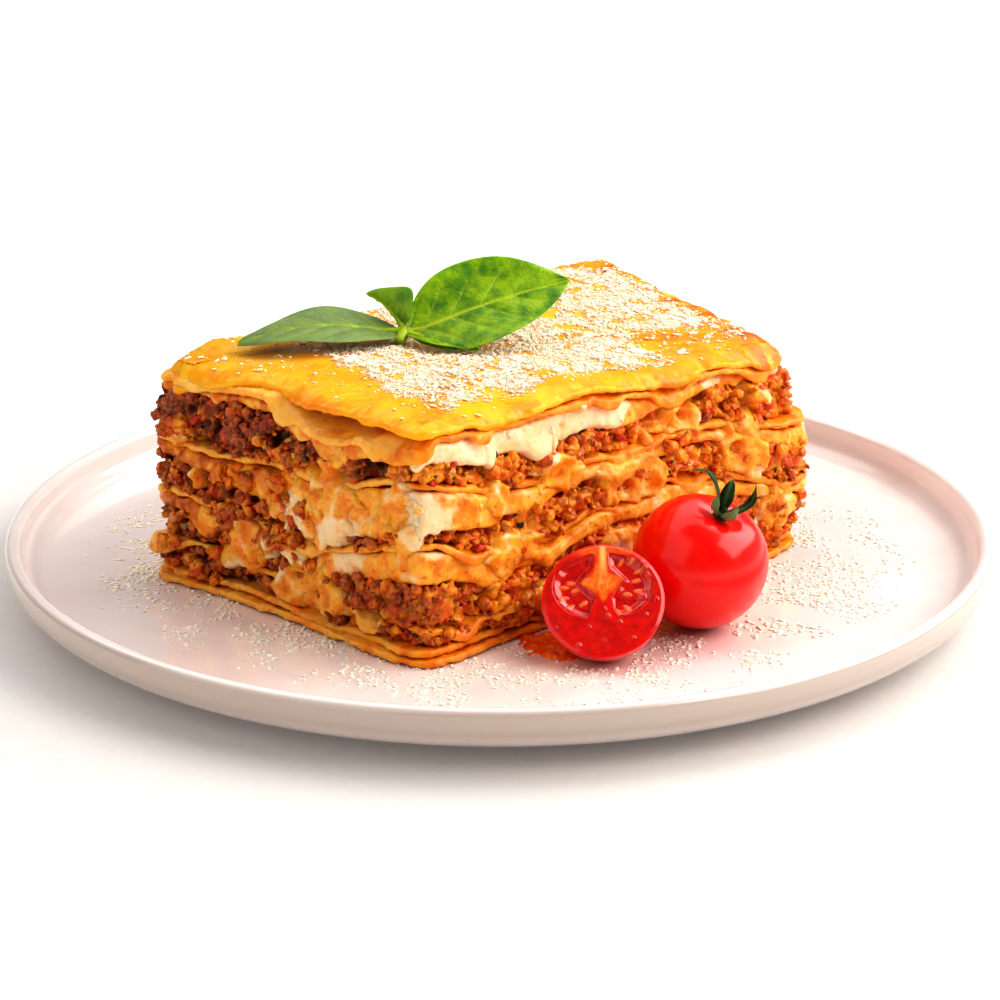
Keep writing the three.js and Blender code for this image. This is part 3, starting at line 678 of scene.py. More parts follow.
def paper_material():
    # Warm white paper on a light box: matt by the plate, and pure white where the light box shines through.
    material, tree, place = empty_material("White paper, rolled out and lit from below")
    fibre = add_node(tree, "TexNoise", {"Vector": place, "Scale": 1 / (3 * MM), "Detail": 2})
    away = add_node(tree, "VectorMath", {0: place}, operation="LENGTH").outputs["Value"]
    glow = add_node(tree, "MapRange", {0: away, 1: 0.13, 2: 0.55, 3: 0.06, 4: 0.72})
    light = {"Emission Color": (1, 1, 1, 1), "Emission Strength": glow}
    finish_material(tree, colour("#D6D2CE"), [(fibre, "#D0CBC6")], [(fibre, 0.03)], 0.8, 1.5, more=light)
    return material


# The plate

def arc(centre, radii, from_degrees, to_degrees, steps):
    angles = np.radians(np.linspace(from_degrees, to_degrees, steps + 1))
    return np.column_stack([centre[0] + radii[0] * np.cos(angles), centre[1] + radii[1] * np.sin(angles)])


def turned(profile, around):
    """A closed shape from a profile of (radius, height) points that starts and ends on its axis."""
    radii, heights = np.asarray(profile, float).T[..., None]
    angles = np.linspace(0, 2 * pi, around, endpoint=False)
    rings = points_at(radii * np.cos(angles), radii * np.sin(angles), heights)
    return closed_rings(rings[1:-1], [(0, 0, heights[end, 0]) for end in (0, -1)])


def plate_profile(settings):
    radius, height = settings.plate_radius / MM, settings.plate_height / MM
    wall, fillet = 3.8, 5.5
    lip = wall / 2
    well_steps = np.linspace(radius - wall - fillet, 0, 24)
    base = [(0, 1.5), (30, 1.5), (60, 1.5), (65.5, 1.5)]
    foot = [(66.4, 0.9), (67, 0.2), (67.6, 0), (71.4, 0), (72.1, 0.2), (72.9, 1.1), (73.5, 1.7), (74.4, 1.8)]
    bend = 98
    return np.concatenate([
        base,
        foot,
        arc((bend, 12), (radius - bend, 10.2), -90, 0, 26),
        arc((radius - lip, height - lip), (lip, lip), 8, 180, 20),
        arc((radius - wall - fillet, WELL_FLOOR + fillet), (fillet, fillet), 0, -90, 18)[1:],
        np.column_stack([well_steps, np.full(24, WELL_FLOOR)])[1:],
    ])


# Pasta, meat and white sauce

def sauce_with_painted_side_light(outline, grid):
    """How much sauce the cut face shows, with painted light in it: most on the lit right, least high up on
    the shaded left.
    """
    place = outline["place"]
    left = 1 - smoothstep(0.75, 1.04, place)
    right = smoothstep(0.9, 1.1, place) * (1 - smoothstep(2.3, 3, place))
    high = smoothstep(28, 50, grid[..., 2])
    return np.clip(0.64 + 0.54 * right[None] - left[None] * (0.18 + 0.2 * high), 0, 1.25)


# Where white sauce stays clean on the cut faces: place on the outline, height, half width, half height.
CLEAN_SPOTS = (
    (0.30, 12.5, 5, 4), (0.45, 21.5, 5, 5), (0.53, 34, 5, 6), (0.74, 31, 7, 6), (1.0, 38, 6, 7),
    (1.0, 52, 9, 9), (1.12, 53, 9, 8), (1.28, 54, 10, 8), (1.45, 55, 10, 7), (1.8, 56, 4, 6),
)


def sheet_part(node, outline, seed, droop=1.0, extra_hang=0.0):
    """A boiled sheet: a soft rounded edge that waves in and out and droops in places."""
    edge = layer_edge(node, outline)
    sag = smoothstep(0.0, 0.7, outline_bumps(outline, 14, seed + 2)) * droop
    stand = outline_bumps(outline, 13, seed) * 0.4 + outline_bumps(outline, 5, seed + 1) * 0.12 + sag * 0.5
    stand = stand + 1.3 * outline_bumps(outline, 2.8, seed + 4) * near_place(outline, 0, 8)
    grid = shell_points(outline, edge, 0.8, SHEET_ROWS, stand, sag * 2.4 + extra_hang, sag * 1.6)
    relief = 0.35 * bumps(grid, 5, seed) + 0.28 * layered_bumps(grid, 2.2, seed + 3)
    return raised(grid, normals_of(grid), relief, SHEET_ROWS)


def white_sauce_part(node, outline, seed):
    """Set white sauce: smooth lumps, with drips over the layers below."""
    edge = layer_edge(node, outline)
    wanted = smoothstep(-0.1, 0.7, outline_bumps(outline, 12, seed + 5))
    fingers = smoothstep(-0.2, 0.7, outline_bumps(outline, 4.2, seed + 6))
    drip = wanted * (1.4 + 3.4 * fingers) + 4 * near_place(outline, 0.7, 15) * (0.35 + 0.65 * fingers)
    stand = outline_bumps(outline, 9, seed) * 0.6
    grid = shell_points(outline, edge, 1.5, BAND_ROWS, stand, 0, drip)
    normals = normals_of(grid)
    relief = 0.7 * bumps(grid, 6.5, seed) + 0.35 * bumps(grid, 2.6, seed + 1)
    relief = relief + 0.1 * bumps(grid, 1.1, seed + 2)
    grid = raised(grid, normals, relief, BAND_ROWS)
    clean = spot_share(outline, grid, CLEAN_SPOTS, 1.3) + 0.5 * layered_bumps(grid, 5, seed + 9)
    clean = np.clip(clean, 0, 1)
    stewed = smoothstep(-0.1, 0.4, layered_bumps(grid, 7, seed + 8) + 0.15)
    stewed = smoothstep(0.6, 0.2, outline["place"]) * stewed
    grid = raised(grid, normals, stewed * (0.6 * bumps(grid, 1.6, seed + 7) + 0.3), BAND_ROWS)
    return closed_shell(grid, {"sauced": 1.2 * (1 - clean) - 0.4 * clean + 1.2 * stewed})


# Lumps of mince are this many mm across, and so are the small ones on them.
MINCE_SIZE, FINE_MINCE_SIZE = 3.7, 1.7
# Loose bits on each layer of mince: what they are, how many, least and most half size in mm, how much
# of it they have along each axis, and how deep they are sunk in.
LOOSE_BITS = (
    ("meat", 150, (0.9, 1.9), (0.75, 1.0, 0.8), 0.3),
    ("meat", 380, (0.45, 0.95), (0.8, 1.0, 0.8), 0.3),
    ("tomato", 18, (0.9, 1.7), (1.2, 0.9, 0.6), 0.4),
    ("onion", 14, (0.9, 1.5), (1.1, 0.9, 0.35), 0.2),
    ("herb", 26, (0.35, 0.8), (1.2, 0.9, 0.25), 0.1),
)


def warped(points, depth, size, seed):
    """Points moved all ways by noise, which makes what is round ragged."""
    return points + depth * np.stack([bumps(points, size, seed + axis) for axis in range(3)], -1)


def crumbs(random, detail, centres, sizes, uneven, sauced, least, most):
    """Round crumbs with the masks of the mince. Each takes up its own part of the sauce at its place."""
    shape = ball(detail)
    turns = random_turns(random, len(centres))
    points, triangles = scattered(shape, centres, sizes, turns, uneven, random)
    masks = {name: np.zeros(len(points)) for name in ("deep", "tomato", "onion", "herb")}
    masks["crumb"] = np.repeat(random.random(len(centres)), len(shape[0]))
    masks["sauced"] = np.repeat(sauced * random.uniform(least, most, len(centres)), len(shape[0]))
    return points, triangles, masks


def meat_part(node, outline, seed, random):
    """Stewed mince: lumps on lumps with pits between them, and loose crumbs on its cut face."""
    edge = layer_edge(node, outline)
    stand = outline_bumps(outline, 7, seed) * 0.7 + 0.15
    grid = shell_points(outline, edge, 1.3, MINCE_ROWS, stand)
    normals = normals_of(grid)
    bent = warped(grid, 1.2, 2.6, seed)
    near, second, share = lumps(bent, MINCE_SIZE, 3)
    fine_near, fine_second, fine_share = lumps(bent, FINE_MINCE_SIZE, 4)
    dome = 0.5 * np.sqrt(np.clip(1 - (near / 0.82) ** 2, 0, 1)) + 0.5 * smoothstep(0, 0.4, second - near)
    fine_dome = 0.4 * np.sqrt(np.clip(1 - (fine_near / 0.85) ** 2, 0, 1))
    fine_dome = fine_dome + 0.6 * smoothstep(0, 0.4, fine_second - fine_near)
    pit = smoothstep(0.12, 0.5, layered_bumps(grid, 6.5, 5))
    gristle = layered_bumps(grid, 1.3, 6, 2)
    relief = 1.6 * dome + 0.55 * fine_dome + 0.4 * gristle - 1.1 - 3.0 * pit
    grid = raised(grid, normals, relief, MINCE_ROWS)
    grid[..., 2] = np.maximum(grid[..., 2], WELL_FLOOR + 0.15)
    sauced = sauce_with_painted_side_light(outline, grid)
    # Painted shade: the deep mask is strongest in pits and between lumps, and weaker where the mince holds
    # more sauce.
    deep = np.clip(1.05 - 0.9 * dome - 0.35 * fine_dome - 0.5 * gristle + 1.1 * pit, 0, 1)
    shell = closed_shell(grid, {
        "crumb": 0.6 * share + 0.4 * fine_share,
        "deep": deep * (1.0 - 0.6 * sauced),
        "sauced": sauced,
        "tomato": 0.7 * smoothstep(0.94, 0.96, share) * (1 - deep),
        "onion": 0 * share,
        "herb": 0 * share,
    })
    parts = [shell]
    for kind, count, (least, most), stretch, sunk in LOOSE_BITS:
        row = random.integers(9, MINCE_ROWS + 5, count)
        column = random.integers(0, grid.shape[1], count)
        size = random.uniform(least, most, count)
        centres = grid[row, column] + normals[row, column] * (size * (0.5 - sunk))[:, None]
        centres[:, 2] = np.maximum(centres[:, 2], WELL_FLOOR + 1)
        sizes = size[:, None] * np.array(stretch) * random.uniform(0.75, 1.2, (count, 3))
        detail = 3 if least > 0.8 else 2
        points, triangles, masks = crumbs(
            random, detail, centres, sizes, 0.05, sauced[row, column], 0.3, 1.2)
        if kind == "meat":
            # On loose meat crumbs the deep mask darkens patches at random, in the near-black of the painted
            # pit shade.
            masks["deep"] = 0.6 * smoothstep(0.1, 0.6, bumps(points, 1.2, 66))
        else:
            masks[kind] += 1
        parts.append((warped(points, 0.42, 1.2, 60), [], triangles, masks))
    return joined(parts)


# Where the knife dragged sauce over the cut faces: place on the outline, height, half width, half height.
SMEARS = (
    (0.64, 38, 17, 11), (0.95, 39, 8, 10), (0.35, 21, 13, 8), (0.57, 17, 16, 7), (0.06, 44, 5, 4),
    (1.15, 42, 6, 5), (1.2, 29, 10, 5), (1.35, 43, 9, 4), (1.55, 36, 12, 6), (1.7, 47, 8, 4),
    (1.85, 38, 8, 8), (1.5, 21, 12, 5), (1.75, 25, 9, 6), (1.3, 15, 8, 4), (1.96, 21, 6, 8),
)


def spot_share(outline, grid, spots, soft=1.25, full=0.6):
    """1 inside named spots on the cut faces, fading out round them."""
    share = np.zeros(grid.shape[:2])
    for place, height, half_width, half_height in spots:
        across = apart_from(outline, place)[None] / half_width
        reach = np.hypot(across, (grid[..., 2] - height) / half_height)
        share = np.maximum(share, smoothstep(soft, full, reach))
    return share


def outer_reach(outline, heights, pieces):
    """How far out the outermost of some pieces stands, at each height over each outline point."""
    depsgraph = bpy.context.evaluated_depsgraph_get()
    trees = [BVHTree.FromObject(bpy.data.objects[name], depsgraph) for name in pieces]
    reach = np.zeros(heights.shape)
    for row, column in np.ndindex(heights.shape):
        facing = Vector((*outline["outward"][column], 0))
        start = Vector((*outline["points"][column], heights[row, column])) * MM + facing * 0.02
        gaps = [tree.ray_cast(start, -facing, 0.024)[3] for tree in trees]
        reach[row, column] = 20 - min((gap / MM for gap in gaps if gap is not None), default=23)
    return reach


def spread(table, rows, columns, combine):
    """Each value of a table combined with its neighbours. The columns close on themselves."""
    padded = np.pad(table, ((rows, rows), (0, 0)), mode="edge")
    padded = np.pad(padded, ((0, 0), (columns, columns)), mode="wrap")
    around = [padded[i:i + table.shape[0], j:j + table.shape[1]]
              for i in range(2 * rows + 1) for j in range(2 * columns + 1)]
    return combine(around, axis=0)


def cut_faces(scene, pieces):
    """The cut faces' outline and an even grid of points that follows what stands out furthest on them."""
    outline = slice_outline(0.62, scene.lasagna_sizes.corner_rounding / MM)
    share = np.linspace(0, 1, 84)[:, None]
    low = layer_edge(SHEETS[0], outline)["high"] + 0.5
    high = layer_edge(SHEETS[-1], outline)["low"] - 0.5
    heights = low + (high - low) * share
    reach = spread(outer_reach(outline, heights, pieces), 1, 1, np.max)
    reach = spread(spread(reach, 2, 2, np.mean), 1, 1, np.mean)
    flat = outline["points"][None] + outline["outward"][None] * reach[..., None]
    return outline, np.concatenate([flat, heights[..., None]], -1)


def smeared_part(outline, grid):
    """A film of white sauce, fat and tomato dragged over the cut faces. It bridges their gaps."""
    share = np.linspace(0, 1, len(grid))[:, None]
    wanted = 0.85 * spot_share(outline, grid, SMEARS) + 0.75 * layered_bumps(grid, 7, 64)
    right = smoothstep(1.0, 1.3, outline["place"]) * smoothstep(2.1, 1.9, outline["place"])
    wanted = wanted + 0.16 * layered_bumps(grid, 2.4, 65) - 0.1 + 0.2 * right
    film = smoothstep(0.15, 0.75, wanted) * smoothstep(0, 0.05, share) * smoothstep(1, 0.95, share)
    relief = 0.45 * bumps(grid, 2.6, 66) + 0.32 * bumps(grid, 1.4, 67)
    thickness = (4.1 * film - 3.4 + relief)[..., None]
    facing = points_at(*outline["outward"].T)
    upper, lower = grid + facing * thickness, grid + facing * (thickness - 2.5)
    kept = (film[:-1, :-1] + film[1:, 1:] + film[1:, :-1] + film[:-1, 1:]) > 0.04
    points, quads = closed_sheet(upper[:, ::-1], lower[:, ::-1], kept[:, ::-1])
    clean = spot_share(outline, grid, CLEAN_SPOTS, 1.3) + 0.6 * layered_bumps(grid, 4, 68)
    sauced = np.tile((1.1 - 1.3 * np.clip(clean, -0.3, 1))[:, ::-1].ravel(), 2)
    used, quads = np.unique(quads, return_inverse=True)
    return points[used], quads.reshape(-1, 4), [], {"sauced": sauced[used]}


def stray_crumbs_part(outline, grid, random):
    """Crumbs of mince in small heaps, stuck to the cut faces where the knife left them."""
    left_heaps, other_heaps, in_heap = 30, 34, 8
    count = (left_heaps + other_heaps) * in_heap
    place = np.concatenate([random.beta(1, 1.7, left_heaps) * 0.7, random.uniform(1.2, 4, other_heaps)])
    middle = random.uniform(3, len(grid) - 12, len(place))
    column = np.repeat(np.searchsorted(outline["place"], place), in_heap) + random.normal(0, 2.5, count)
    row = np.repeat(middle, in_heap) + random.normal(0, 1.7, count)
    column = np.round(column).astype(int) % grid.shape[1]
    row = np.clip(np.round(row), 2, len(grid) - 6).astype(int)
    size = 0.5 + 1.2 * random.random(count) ** 1.6
    facing = points_at(*outline["outward"][column].T)
    centres = grid[row, column] + facing * (size * 0.1)[:, None]
    sizes = size[:, None] * random.uniform(0.6, 1.3, (count, 3))
    sauced = sauce_with_painted_side_light(outline, grid)[row, column]
    points, triangles, masks = crumbs(random, 3, centres, sizes, 0.08, sauced, 0.6, 1.4)
    points = warped(points, 0.75, 1.3, 96)
    # The deep mask darkens patches of these crumbs at random, in the near-black of the painted pit shade.
    masks["deep"] = 0.5 * smoothstep(0.1, 0.6, bumps(points, 1.4, 99))
    masks["sauced"] += 0.3
    return points, [], triangles, masks


def chunks_part(outline, random):
    """Lumps of sauced meat that stick out at the slice's torn right end."""
    count = 120
    place = random.normal(1.97, 0.1, count)
    column = np.searchsorted(outline["place"], place) % len(outline["points"])
    size = random.uniform(1.2, 2.6, count)
    out = random.uniform(0, 1, count) ** 1.3 * 4.2
    centres = np.column_stack([outline["points"][column] + outline["outward"][column] * out[:, None],
                               random.uniform(WELL_FLOOR + 2.5, 47, count)])
    sizes = size[:, None] * random.uniform(0.65, 1.15, (count, 3))
    points, triangles, masks = crumbs(random, 3, centres, sizes, 0, 1, 0.9, 1.4)
    points = warped(warped(points, 0.9, 2.6, 70), 0.3, 1.0, 73)
    # The deep mask darkens patches of these lumps at random, in the near-black of the painted pit shade.
    masks["deep"] = 0.5 * smoothstep(0.1, 0.5, layered_bumps(points, 2.2, 77))
    return points, [], triangles, masks


# The top sheet and its cheese

def blurred(table):
    """Each value of a table as the mean of itself and its eight neighbours."""
    return sum(np.roll(table, step, (0, 1)) / 9 for step in product((-1, 0, 1), repeat=2))


def top_heights():
    """The top sheet's height over a grid of 1.5 mm, read from the even underside of its CAD node."""
    tree = tree_of("pasta_sheet_7")
    thickness = 1.6
    step = 1.5
    xs = np.arange(-84, 72.1, step)
    ys = np.arange(-80, 68.1, step)
    heights = np.full((len(xs), len(ys)), np.nan)
    for column, x in enumerate(xs):
        for row, y in enumerate(ys):
            hit = tree.ray_cast(Vector((x, y, -50)), Vector((0, 0, 1)))[0]
            if hit:
                heights[column, row] = hit.z + thickness
    known = ~np.isnan(heights)
    filled = np.where(known, heights, heights[known].mean())
    for _ in range(80):
        filled = np.where(known, heights, blurred(filled))
    for _ in range(3):
        filled = blurred(filled)
    return {"x": xs[0], "y": ys[0], "step": step, "heights": filled}


def height_at(field, x, y):
    across = np.clip((x - field["x"]) / field["step"], 0, field["heights"].shape[0] - 1.001)
    along = np.clip((y - field["y"]) / field["step"], 0, field["heights"].shape[1] - 1.001)
    i, j = across.astype(int), along.astype(int)
    u, v = across - i, along - j
    table = field["heights"]
    near = table[i, j] * (1 - u) + table[i + 1, j] * u
    far = table[i, j + 1] * (1 - u) + table[i + 1, j + 1] * u
    return near * (1 - v) + far * v


def inside_distance(x, y, side):
    """How far a point lies inside one side of the slice: 0 left, 1 right, 2 far right, 3 far left."""
    start = np.array(CORNERS[side], float)
    along = np.array(CORNERS[(side + 1) % 4], float) - start
    along /= np.linalg.norm(along)
    return (x - start[0]) * -along[1] + (y - start[1]) * along[0]


def inside_slice(x, y):
    """How far a point lies inside the side of the slice that it is nearest to."""
    return np.min([inside_distance(x, y, side) for side in range(4)], axis=0)


# Where the top shows through the cheese: x, y, half width, half depth.
BARE_SPOTS = (
    (48, -4, 18, 14), (-46, -9, 23, 9), (17, 5, 5, 3), (10, 12, 4, 3), (-3, 34, 7, 5), (25, 58, 9, 6),
)


def cheese_share(x, y):
    """How thickly cheese lies on the top: heavy in a band along the middle, none at the front rims."""
    left, right, far_right, far_left = (inside_distance(x, y, side) for side in range(4))
    patch = 3 * layered_bumps(points_at(x, y), 13, 41)
    start = 12 + 10 * smoothstep(60, 20, far_left)
    band = smoothstep(5, 10, right + patch) * smoothstep(0, 6, left - start + patch)
    band = band * smoothstep(1, 6, far_left + patch) * smoothstep(2, 7, far_right + patch)
    for spot_x, spot_y, half_x, half_y in BARE_SPOTS:
        reach = np.hypot((x - spot_x) / half_x, (y - spot_y) / half_y) + 0.1 * patch
        band = band * (1 - 0.93 * smoothstep(1.15, 0.75, reach))
    return np.clip(band, 0, 1)


def top_relief(points):
    return 0.45 * bumps(points, 15, 21) + 0.2 * bumps(points, 6, 22) + 0.06 * bumps(points, 2.2, 23)


def top_sheet_part(outline, field):
    """The baked top sheet: its soft edge, and a cap of rings that follows the CAD sheet's swells."""
    rings = 56
    flap = 2.6 * near_place(outline, 0.0, 16) + 1.4 * near_place(outline, 2.0, 14) + 0.7
    edge_rows = sheet_part("pasta_sheet_7", outline, 71, 0.3, flap)
    inset, _ = shell_rows(SHEET_ROWS)
    rim = edge_rows[-1]
    centre = np.array([rim[:, 0].mean(), rim[:, 1].mean()])
    shares = np.linspace(1, 0.02, rings)[1:, None]
    flat = centre[None, None] + (rim[None, :, :2] - centre) * shares[..., None]
    cap = np.concatenate([flat, height_at(field, flat[..., 0], flat[..., 1])[..., None]], -1)
    blend_in = smoothstep(1, 0.9, shares)
    cap[..., 2] += (rim[None, :, 2] - height_at(field, rim[:, 0], rim[:, 1])[None]) * (1 - blend_in)
    grid = np.concatenate([edge_rows, cap])
    on_face = (inset > 0) & (np.arange(len(inset)) > len(inset) // 2)
    upper = np.concatenate([on_face, np.ones(rings - 1, bool)])[:, None]
    lifted = top_relief(grid) * upper
    x, y = grid[..., 0], grid[..., 1]
    blister = smoothstep(16, 4, inside_distance(x, y, 2)) * smoothstep(-20, 6, inside_distance(x, y, 3))
    grid[..., 2] += lifted + upper * blister * np.abs(bumps(grid, 7, 29)) * 1.6
    at_rim = smoothstep(3, 0.6, inside_slice(x, y)) * smoothstep(-0.2, 0.5, bumps(grid, 9, 31))
    browned = 0.8 * blister * smoothstep(0.1, 0.5, np.abs(bumps(grid, 6, 29))) + 0.45 * at_rim
    points, quads, triangles, masks = closed_shell(grid, {
        "browned": browned + 0.24 * smoothstep(0, 60, x),
        "cheesy": top_cheese_share(x, y) * upper,
    })
    points[-1, 2] = grid[-1, :, 2].mean()
    return points, quads, triangles, masks


def octahedron():
    points = np.array([[1, 0, 0], [-1, 0, 0], [0, 1, 0], [0, -1, 0], [0, 0, 1], [0, 0, -1]], float)
    triangles = [[0, 2, 4], [2, 1, 4], [1, 3, 4], [3, 0, 4], [2, 0, 5], [1, 2, 5], [3, 1, 5], [0, 3, 5]]
    return points, np.array(triangles)


def lying_turns(random, count):
    """Turns for pieces that lie nearly flat, each its own way round."""
    around = random.uniform(0, 2 * pi, count)
    tilt, roll = random.normal(0, 0.22, (2, count))
    turns = []
    for a, b, c in zip(around, tilt, roll):
        flat = np.array([[cos(a), -sin(a), 0], [sin(a), cos(a), 0], [0, 0, 1]])
        tip = np.array([[1, 0, 0], [0, cos(b), -sin(b)], [0, sin(b), cos(b)]])
        lean = np.array([[cos(c), 0, sin(c)], [0, 1, 0], [-sin(c), 0, cos(c)]])
        turns.append(flat @ tip @ lean)
    return np.array(turns)


def grated(random, tree, spots, kind):
    """Grated pieces laid on a surface: kind holds a shape and its half-lengths in mm."""
    shape, longest, middle, thin, lift = kind
    hits = [tree.ray_cast(Vector((x, y, 200)), Vector((0, 0, -1)))[0] for x, y in spots]
    centres = np.array([hit[:] for hit in hits if hit])
    count = len(centres)
    sizes = np.column_stack([random.uniform(*span, count) for span in (longest, middle, thin)])
    centres[:, 2] += sizes[:, 2] * 0.5 + random.random(count) ** 2 * lift
    points, triangles = scattered(shape, centres, sizes, lying_turns(random, count), 0.28, random)
    return points, [], triangles, {}


def surface_tree(points, quads):
    return BVHTree.FromPolygons(points.tolist(), quads.tolist())


def chosen_spots(random, count, low, high, share_at):
    """Random spots in a box, kept with the chance that share_at gives."""
    found = np.zeros((0, 2))
    while len(found) < count:
        tries = random.uniform(low, high, (count * 4, 2))
        keep = random.random(len(tries)) < share_at(tries[:, 0], tries[:, 1])
        found = np.concatenate([found, tries[keep]])
    return found[:count]


def cheese_part(random, surface, kinds, low, high, share_at):
    """Grated cheese on a surface: each kind of piece as often as it says, where share_at lets it lie."""
    parts = []
    for kind, count in kinds:
        spots = chosen_spots(random, count, low, high, share_at)
        parts.append(grated(random, surface, spots, kind))
    return joined(parts)


def top_cheese_share(x, y):
    """The chance of a grain at a place on the top: clumps of them, and a few outside the band."""
    clump = 0.2 + 0.8 * smoothstep(-0.45, 0.2, layered_bumps(points_at(x, y), 4.2, 61))
    return np.where(inside_slice(x, y) > 1.5, 0.02 + 0.98 * cheese_share(x, y) * clump, 0)


def dust_share(x, y):
    """Cheese dust on the plate: thick at the left, thin at the front and sparse elsewhere."""
    flat = points_at(x, y)
    radius = np.hypot(x, y)
    left = 2.2 * smoothstep(36, 6, -inside_distance(x, y, 0)) * smoothstep(50, -10, y)
    front = 0.22 * smoothstep(-60, -85, y) * smoothstep(60, 30, np.abs(x - 10))
    right = 0.006 * smoothstep(50, 70, x) * smoothstep(-70, -40, y)
    share = (0.004 + left + front + right) * smoothstep(-0.5, 0.6, layered_bumps(flat, 12, 91))
    share = share * smoothstep(103, 88, radius)
    share = share * (0.25 + 0.75 * smoothstep(-0.3, 0.5, layered_bumps(flat, 3, 92)))
    clear = (inside_slice(x, y) < -0.6) & (radius < 104)
    for (cx, cy), reach in (((45.5, -50.6), 7), ((22.8, -70.2), 7)):
        clear = clear & (np.hypot(x - cx, y - cy) > reach)
    return np.where(clear, np.clip(share, 0, 1), 0)


# Leaves

def seeded_random(seed):
    """The part's own random numbers, so that leaves and sepals lie as they do in it."""
    state = seed
    full = 2**32
    while True:
        state = (state + 0x6D2B79F5) % full
        mixed = (state ^ (state >> 15)) * (1 | state) % full
        mixed = (mixed + (mixed ^ (mixed >> 7)) * (61 | mixed)) % full ^ mixed
        yield (mixed ^ (mixed >> 14)) / full


def leaf_part(base, tip, width, arch, cup, tilt, wave, seed, steps=(110, 56), vein_depth=0.3):
    """A closed leaf with a midrib, side veins that curve to its rim, and a blade that swells between."""
    thickness = 0.5
    base, tip = np.array(base, float), np.array(tip, float)
    length = np.linalg.norm(tip - base)
    forward = (tip - base) / length
    level = np.cross([0, 0, 1], forward)
    level /= np.linalg.norm(level)
    lean = radians(tilt)
    across = level * cos(lean) + np.cross(forward, level) * sin(lean)
    normal = np.cross(forward, across)
    phase = next(seeded_random(seed)) * 2 * pi
    share = np.linspace(0, 1, steps[0] + 1)[:, None]
    side = np.linspace(-1, 1, steps[1] + 1)[None, :]
    half = width / 2 * np.maximum(0.03, np.sin(pi * share**0.8) ** 0.75)
    lift = cup * half * side**2 + arch * np.sin(pi * share)
    lift = lift + wave * side**2 * np.sin(share * 11 + phase + side * 2)
    reach = (share - 0.34 * np.abs(side) + 0.06 * side**2 - 0.06) / 0.19
    ridge = np.abs(np.sin(pi * reach))
    side_vein = (1 - smoothstep(0.01, 0.13, ridge)) * smoothstep(0.85, 0.3, np.abs(side)) * (reach > -0.5)
    midrib = np.exp(-((side * half / (0.22 + 0.3 * (1 - share))) ** 2))
    vein = np.clip(np.maximum(side_vein * 0.75, midrib), 0, 1)
    flat = base + forward * (length * share)[..., None] + across * (half * side)[..., None]
    swell = vein_depth * ridge**0.7 * (1 - midrib) * smoothstep(1, 0.75, np.abs(side)) - vein_depth * vein
    to_rim = np.maximum(np.abs(side), 1 - 4 * np.minimum(share, 1 - share))
    depth = thickness / 2 * np.sqrt(np.clip(1 - to_rim**6, 0.04, 1))
    upper = flat + normal * (lift + swell + depth)[..., None]
    lower = flat + normal * (lift + swell * 0.8 - depth - 0.3 * midrib * (1 - share))[..., None]
    points, quads = closed_sheet(upper, lower)
    under = len(points) // 2
    dull = np.concatenate([np.zeros(under), np.full(under, 0.75)])
    return points, quads, [], {"vein": np.tile(vein.ravel(), 2), "dull": dull}


def tube_part(path, radii, vein=0.6):
    """A stem along a path, with a radius for each of its points."""
    around = 14
    path, radii = np.asarray(path, float), np.asarray(radii, float)
    forward = np.gradient(path, axis=0)
    forward /= np.linalg.norm(forward, axis=1, keepdims=True)
    sideways = np.cross(forward, [0.3, 1, 0.2])
    sideways /= np.linalg.norm(sideways, axis=1, keepdims=True)
    upward = np.cross(sideways, forward)
    angles = np.linspace(0, 2 * pi, around, endpoint=False)
    ring = sideways[:, None] * np.cos(angles)[:, None] + upward[:, None] * np.sin(angles)[:, None]
    points, quads, triangles = closed_rings(path[:, None] + ring * radii[:, None, None], path[[0, -1]])
    masks = {"vein": np.full(len(points), vein), "dull": np.zeros(len(points))}
    return points, quads[:, ::-1], triangles[:, ::-1], masks


def curve(start, bend, end, steps):
    """Points on a smooth curve from start to end, drawn towards bend."""
    share = np.linspace(0, 1, steps)[:, None]
    start, bend, end = (np.array(point, float) for point in (start, bend, end))
    return start * (1 - share) ** 2 + bend * 2 * share * (1 - share) + end * share**2


def basil_part():
    broad = {"arch": 1.6, "cup": 0.2, "wave": 0.5}
    small = {"arch": 0.5, "cup": 0.4, "wave": 0.2, "steps": (60, 32), "vein_depth": 0.16}
    large = leaf_part((-21.5, -14, 66.0), (16.5, -5, 76.6), 24.5, tilt=38, seed=5, **broad)
    left = leaf_part((-23, -13, 65.6), (-61.5, -16.5, 64.2), 18.5, 3.4, 0.05, -10, 0.3, 3)
    upright = leaf_part((-23, -11.5, 66.3), (-31.5, -9.5, 74.6), 12, tilt=48, seed=8,
                        **{**small, "arch": 1.6, "cup": 0.7, "wave": 0.4})
    lower = leaf_part((-22, -14, 66), (-5, -20.5, 63.6), 9, tilt=14, seed=9, **small)
    left[3]["dull"] = left[3]["dull"] * 0.3 + 0.7
    upright[3]["dull"] = upright[3]["dull"] * 0.3
    joint = (-22.5, -12.6, 66.2)
    stems = [
        tube_part(curve((-23.6, -16.2, 64.6), (-23, -15, 65.6), joint, 10), np.linspace(1.3, 1.5, 10)),
        tube_part(curve(joint, (-20.5, -13.8, 66.4), (-16, -12.7, 67.6), 14), np.linspace(1.3, 0.3, 14)),
        tube_part(curve(joint, (-25, -13, 66.6), (-30, -13.4, 66.4), 14), np.linspace(1.2, 0.3, 14)),
        tube_part(curve(joint, (-23, -11.4, 67.4), (-24.6, -10.6, 69.6), 14), np.linspace(1.2, 0.3, 14)),
        tube_part(curve(joint, (-21.4, -14.4, 66.3), (-17.6, -15.8, 65.8), 14), np.linspace(1.1, 0.3, 14)),
    ]
    return joined([large, left, upright, lower, *stems])


# Tomatoes

TOMATO = {"radius": 15.6, "centre": (45.5, -50.6, 22.7), "axis": (0.32, -0.23, 0.92), "dimple": 2.6}
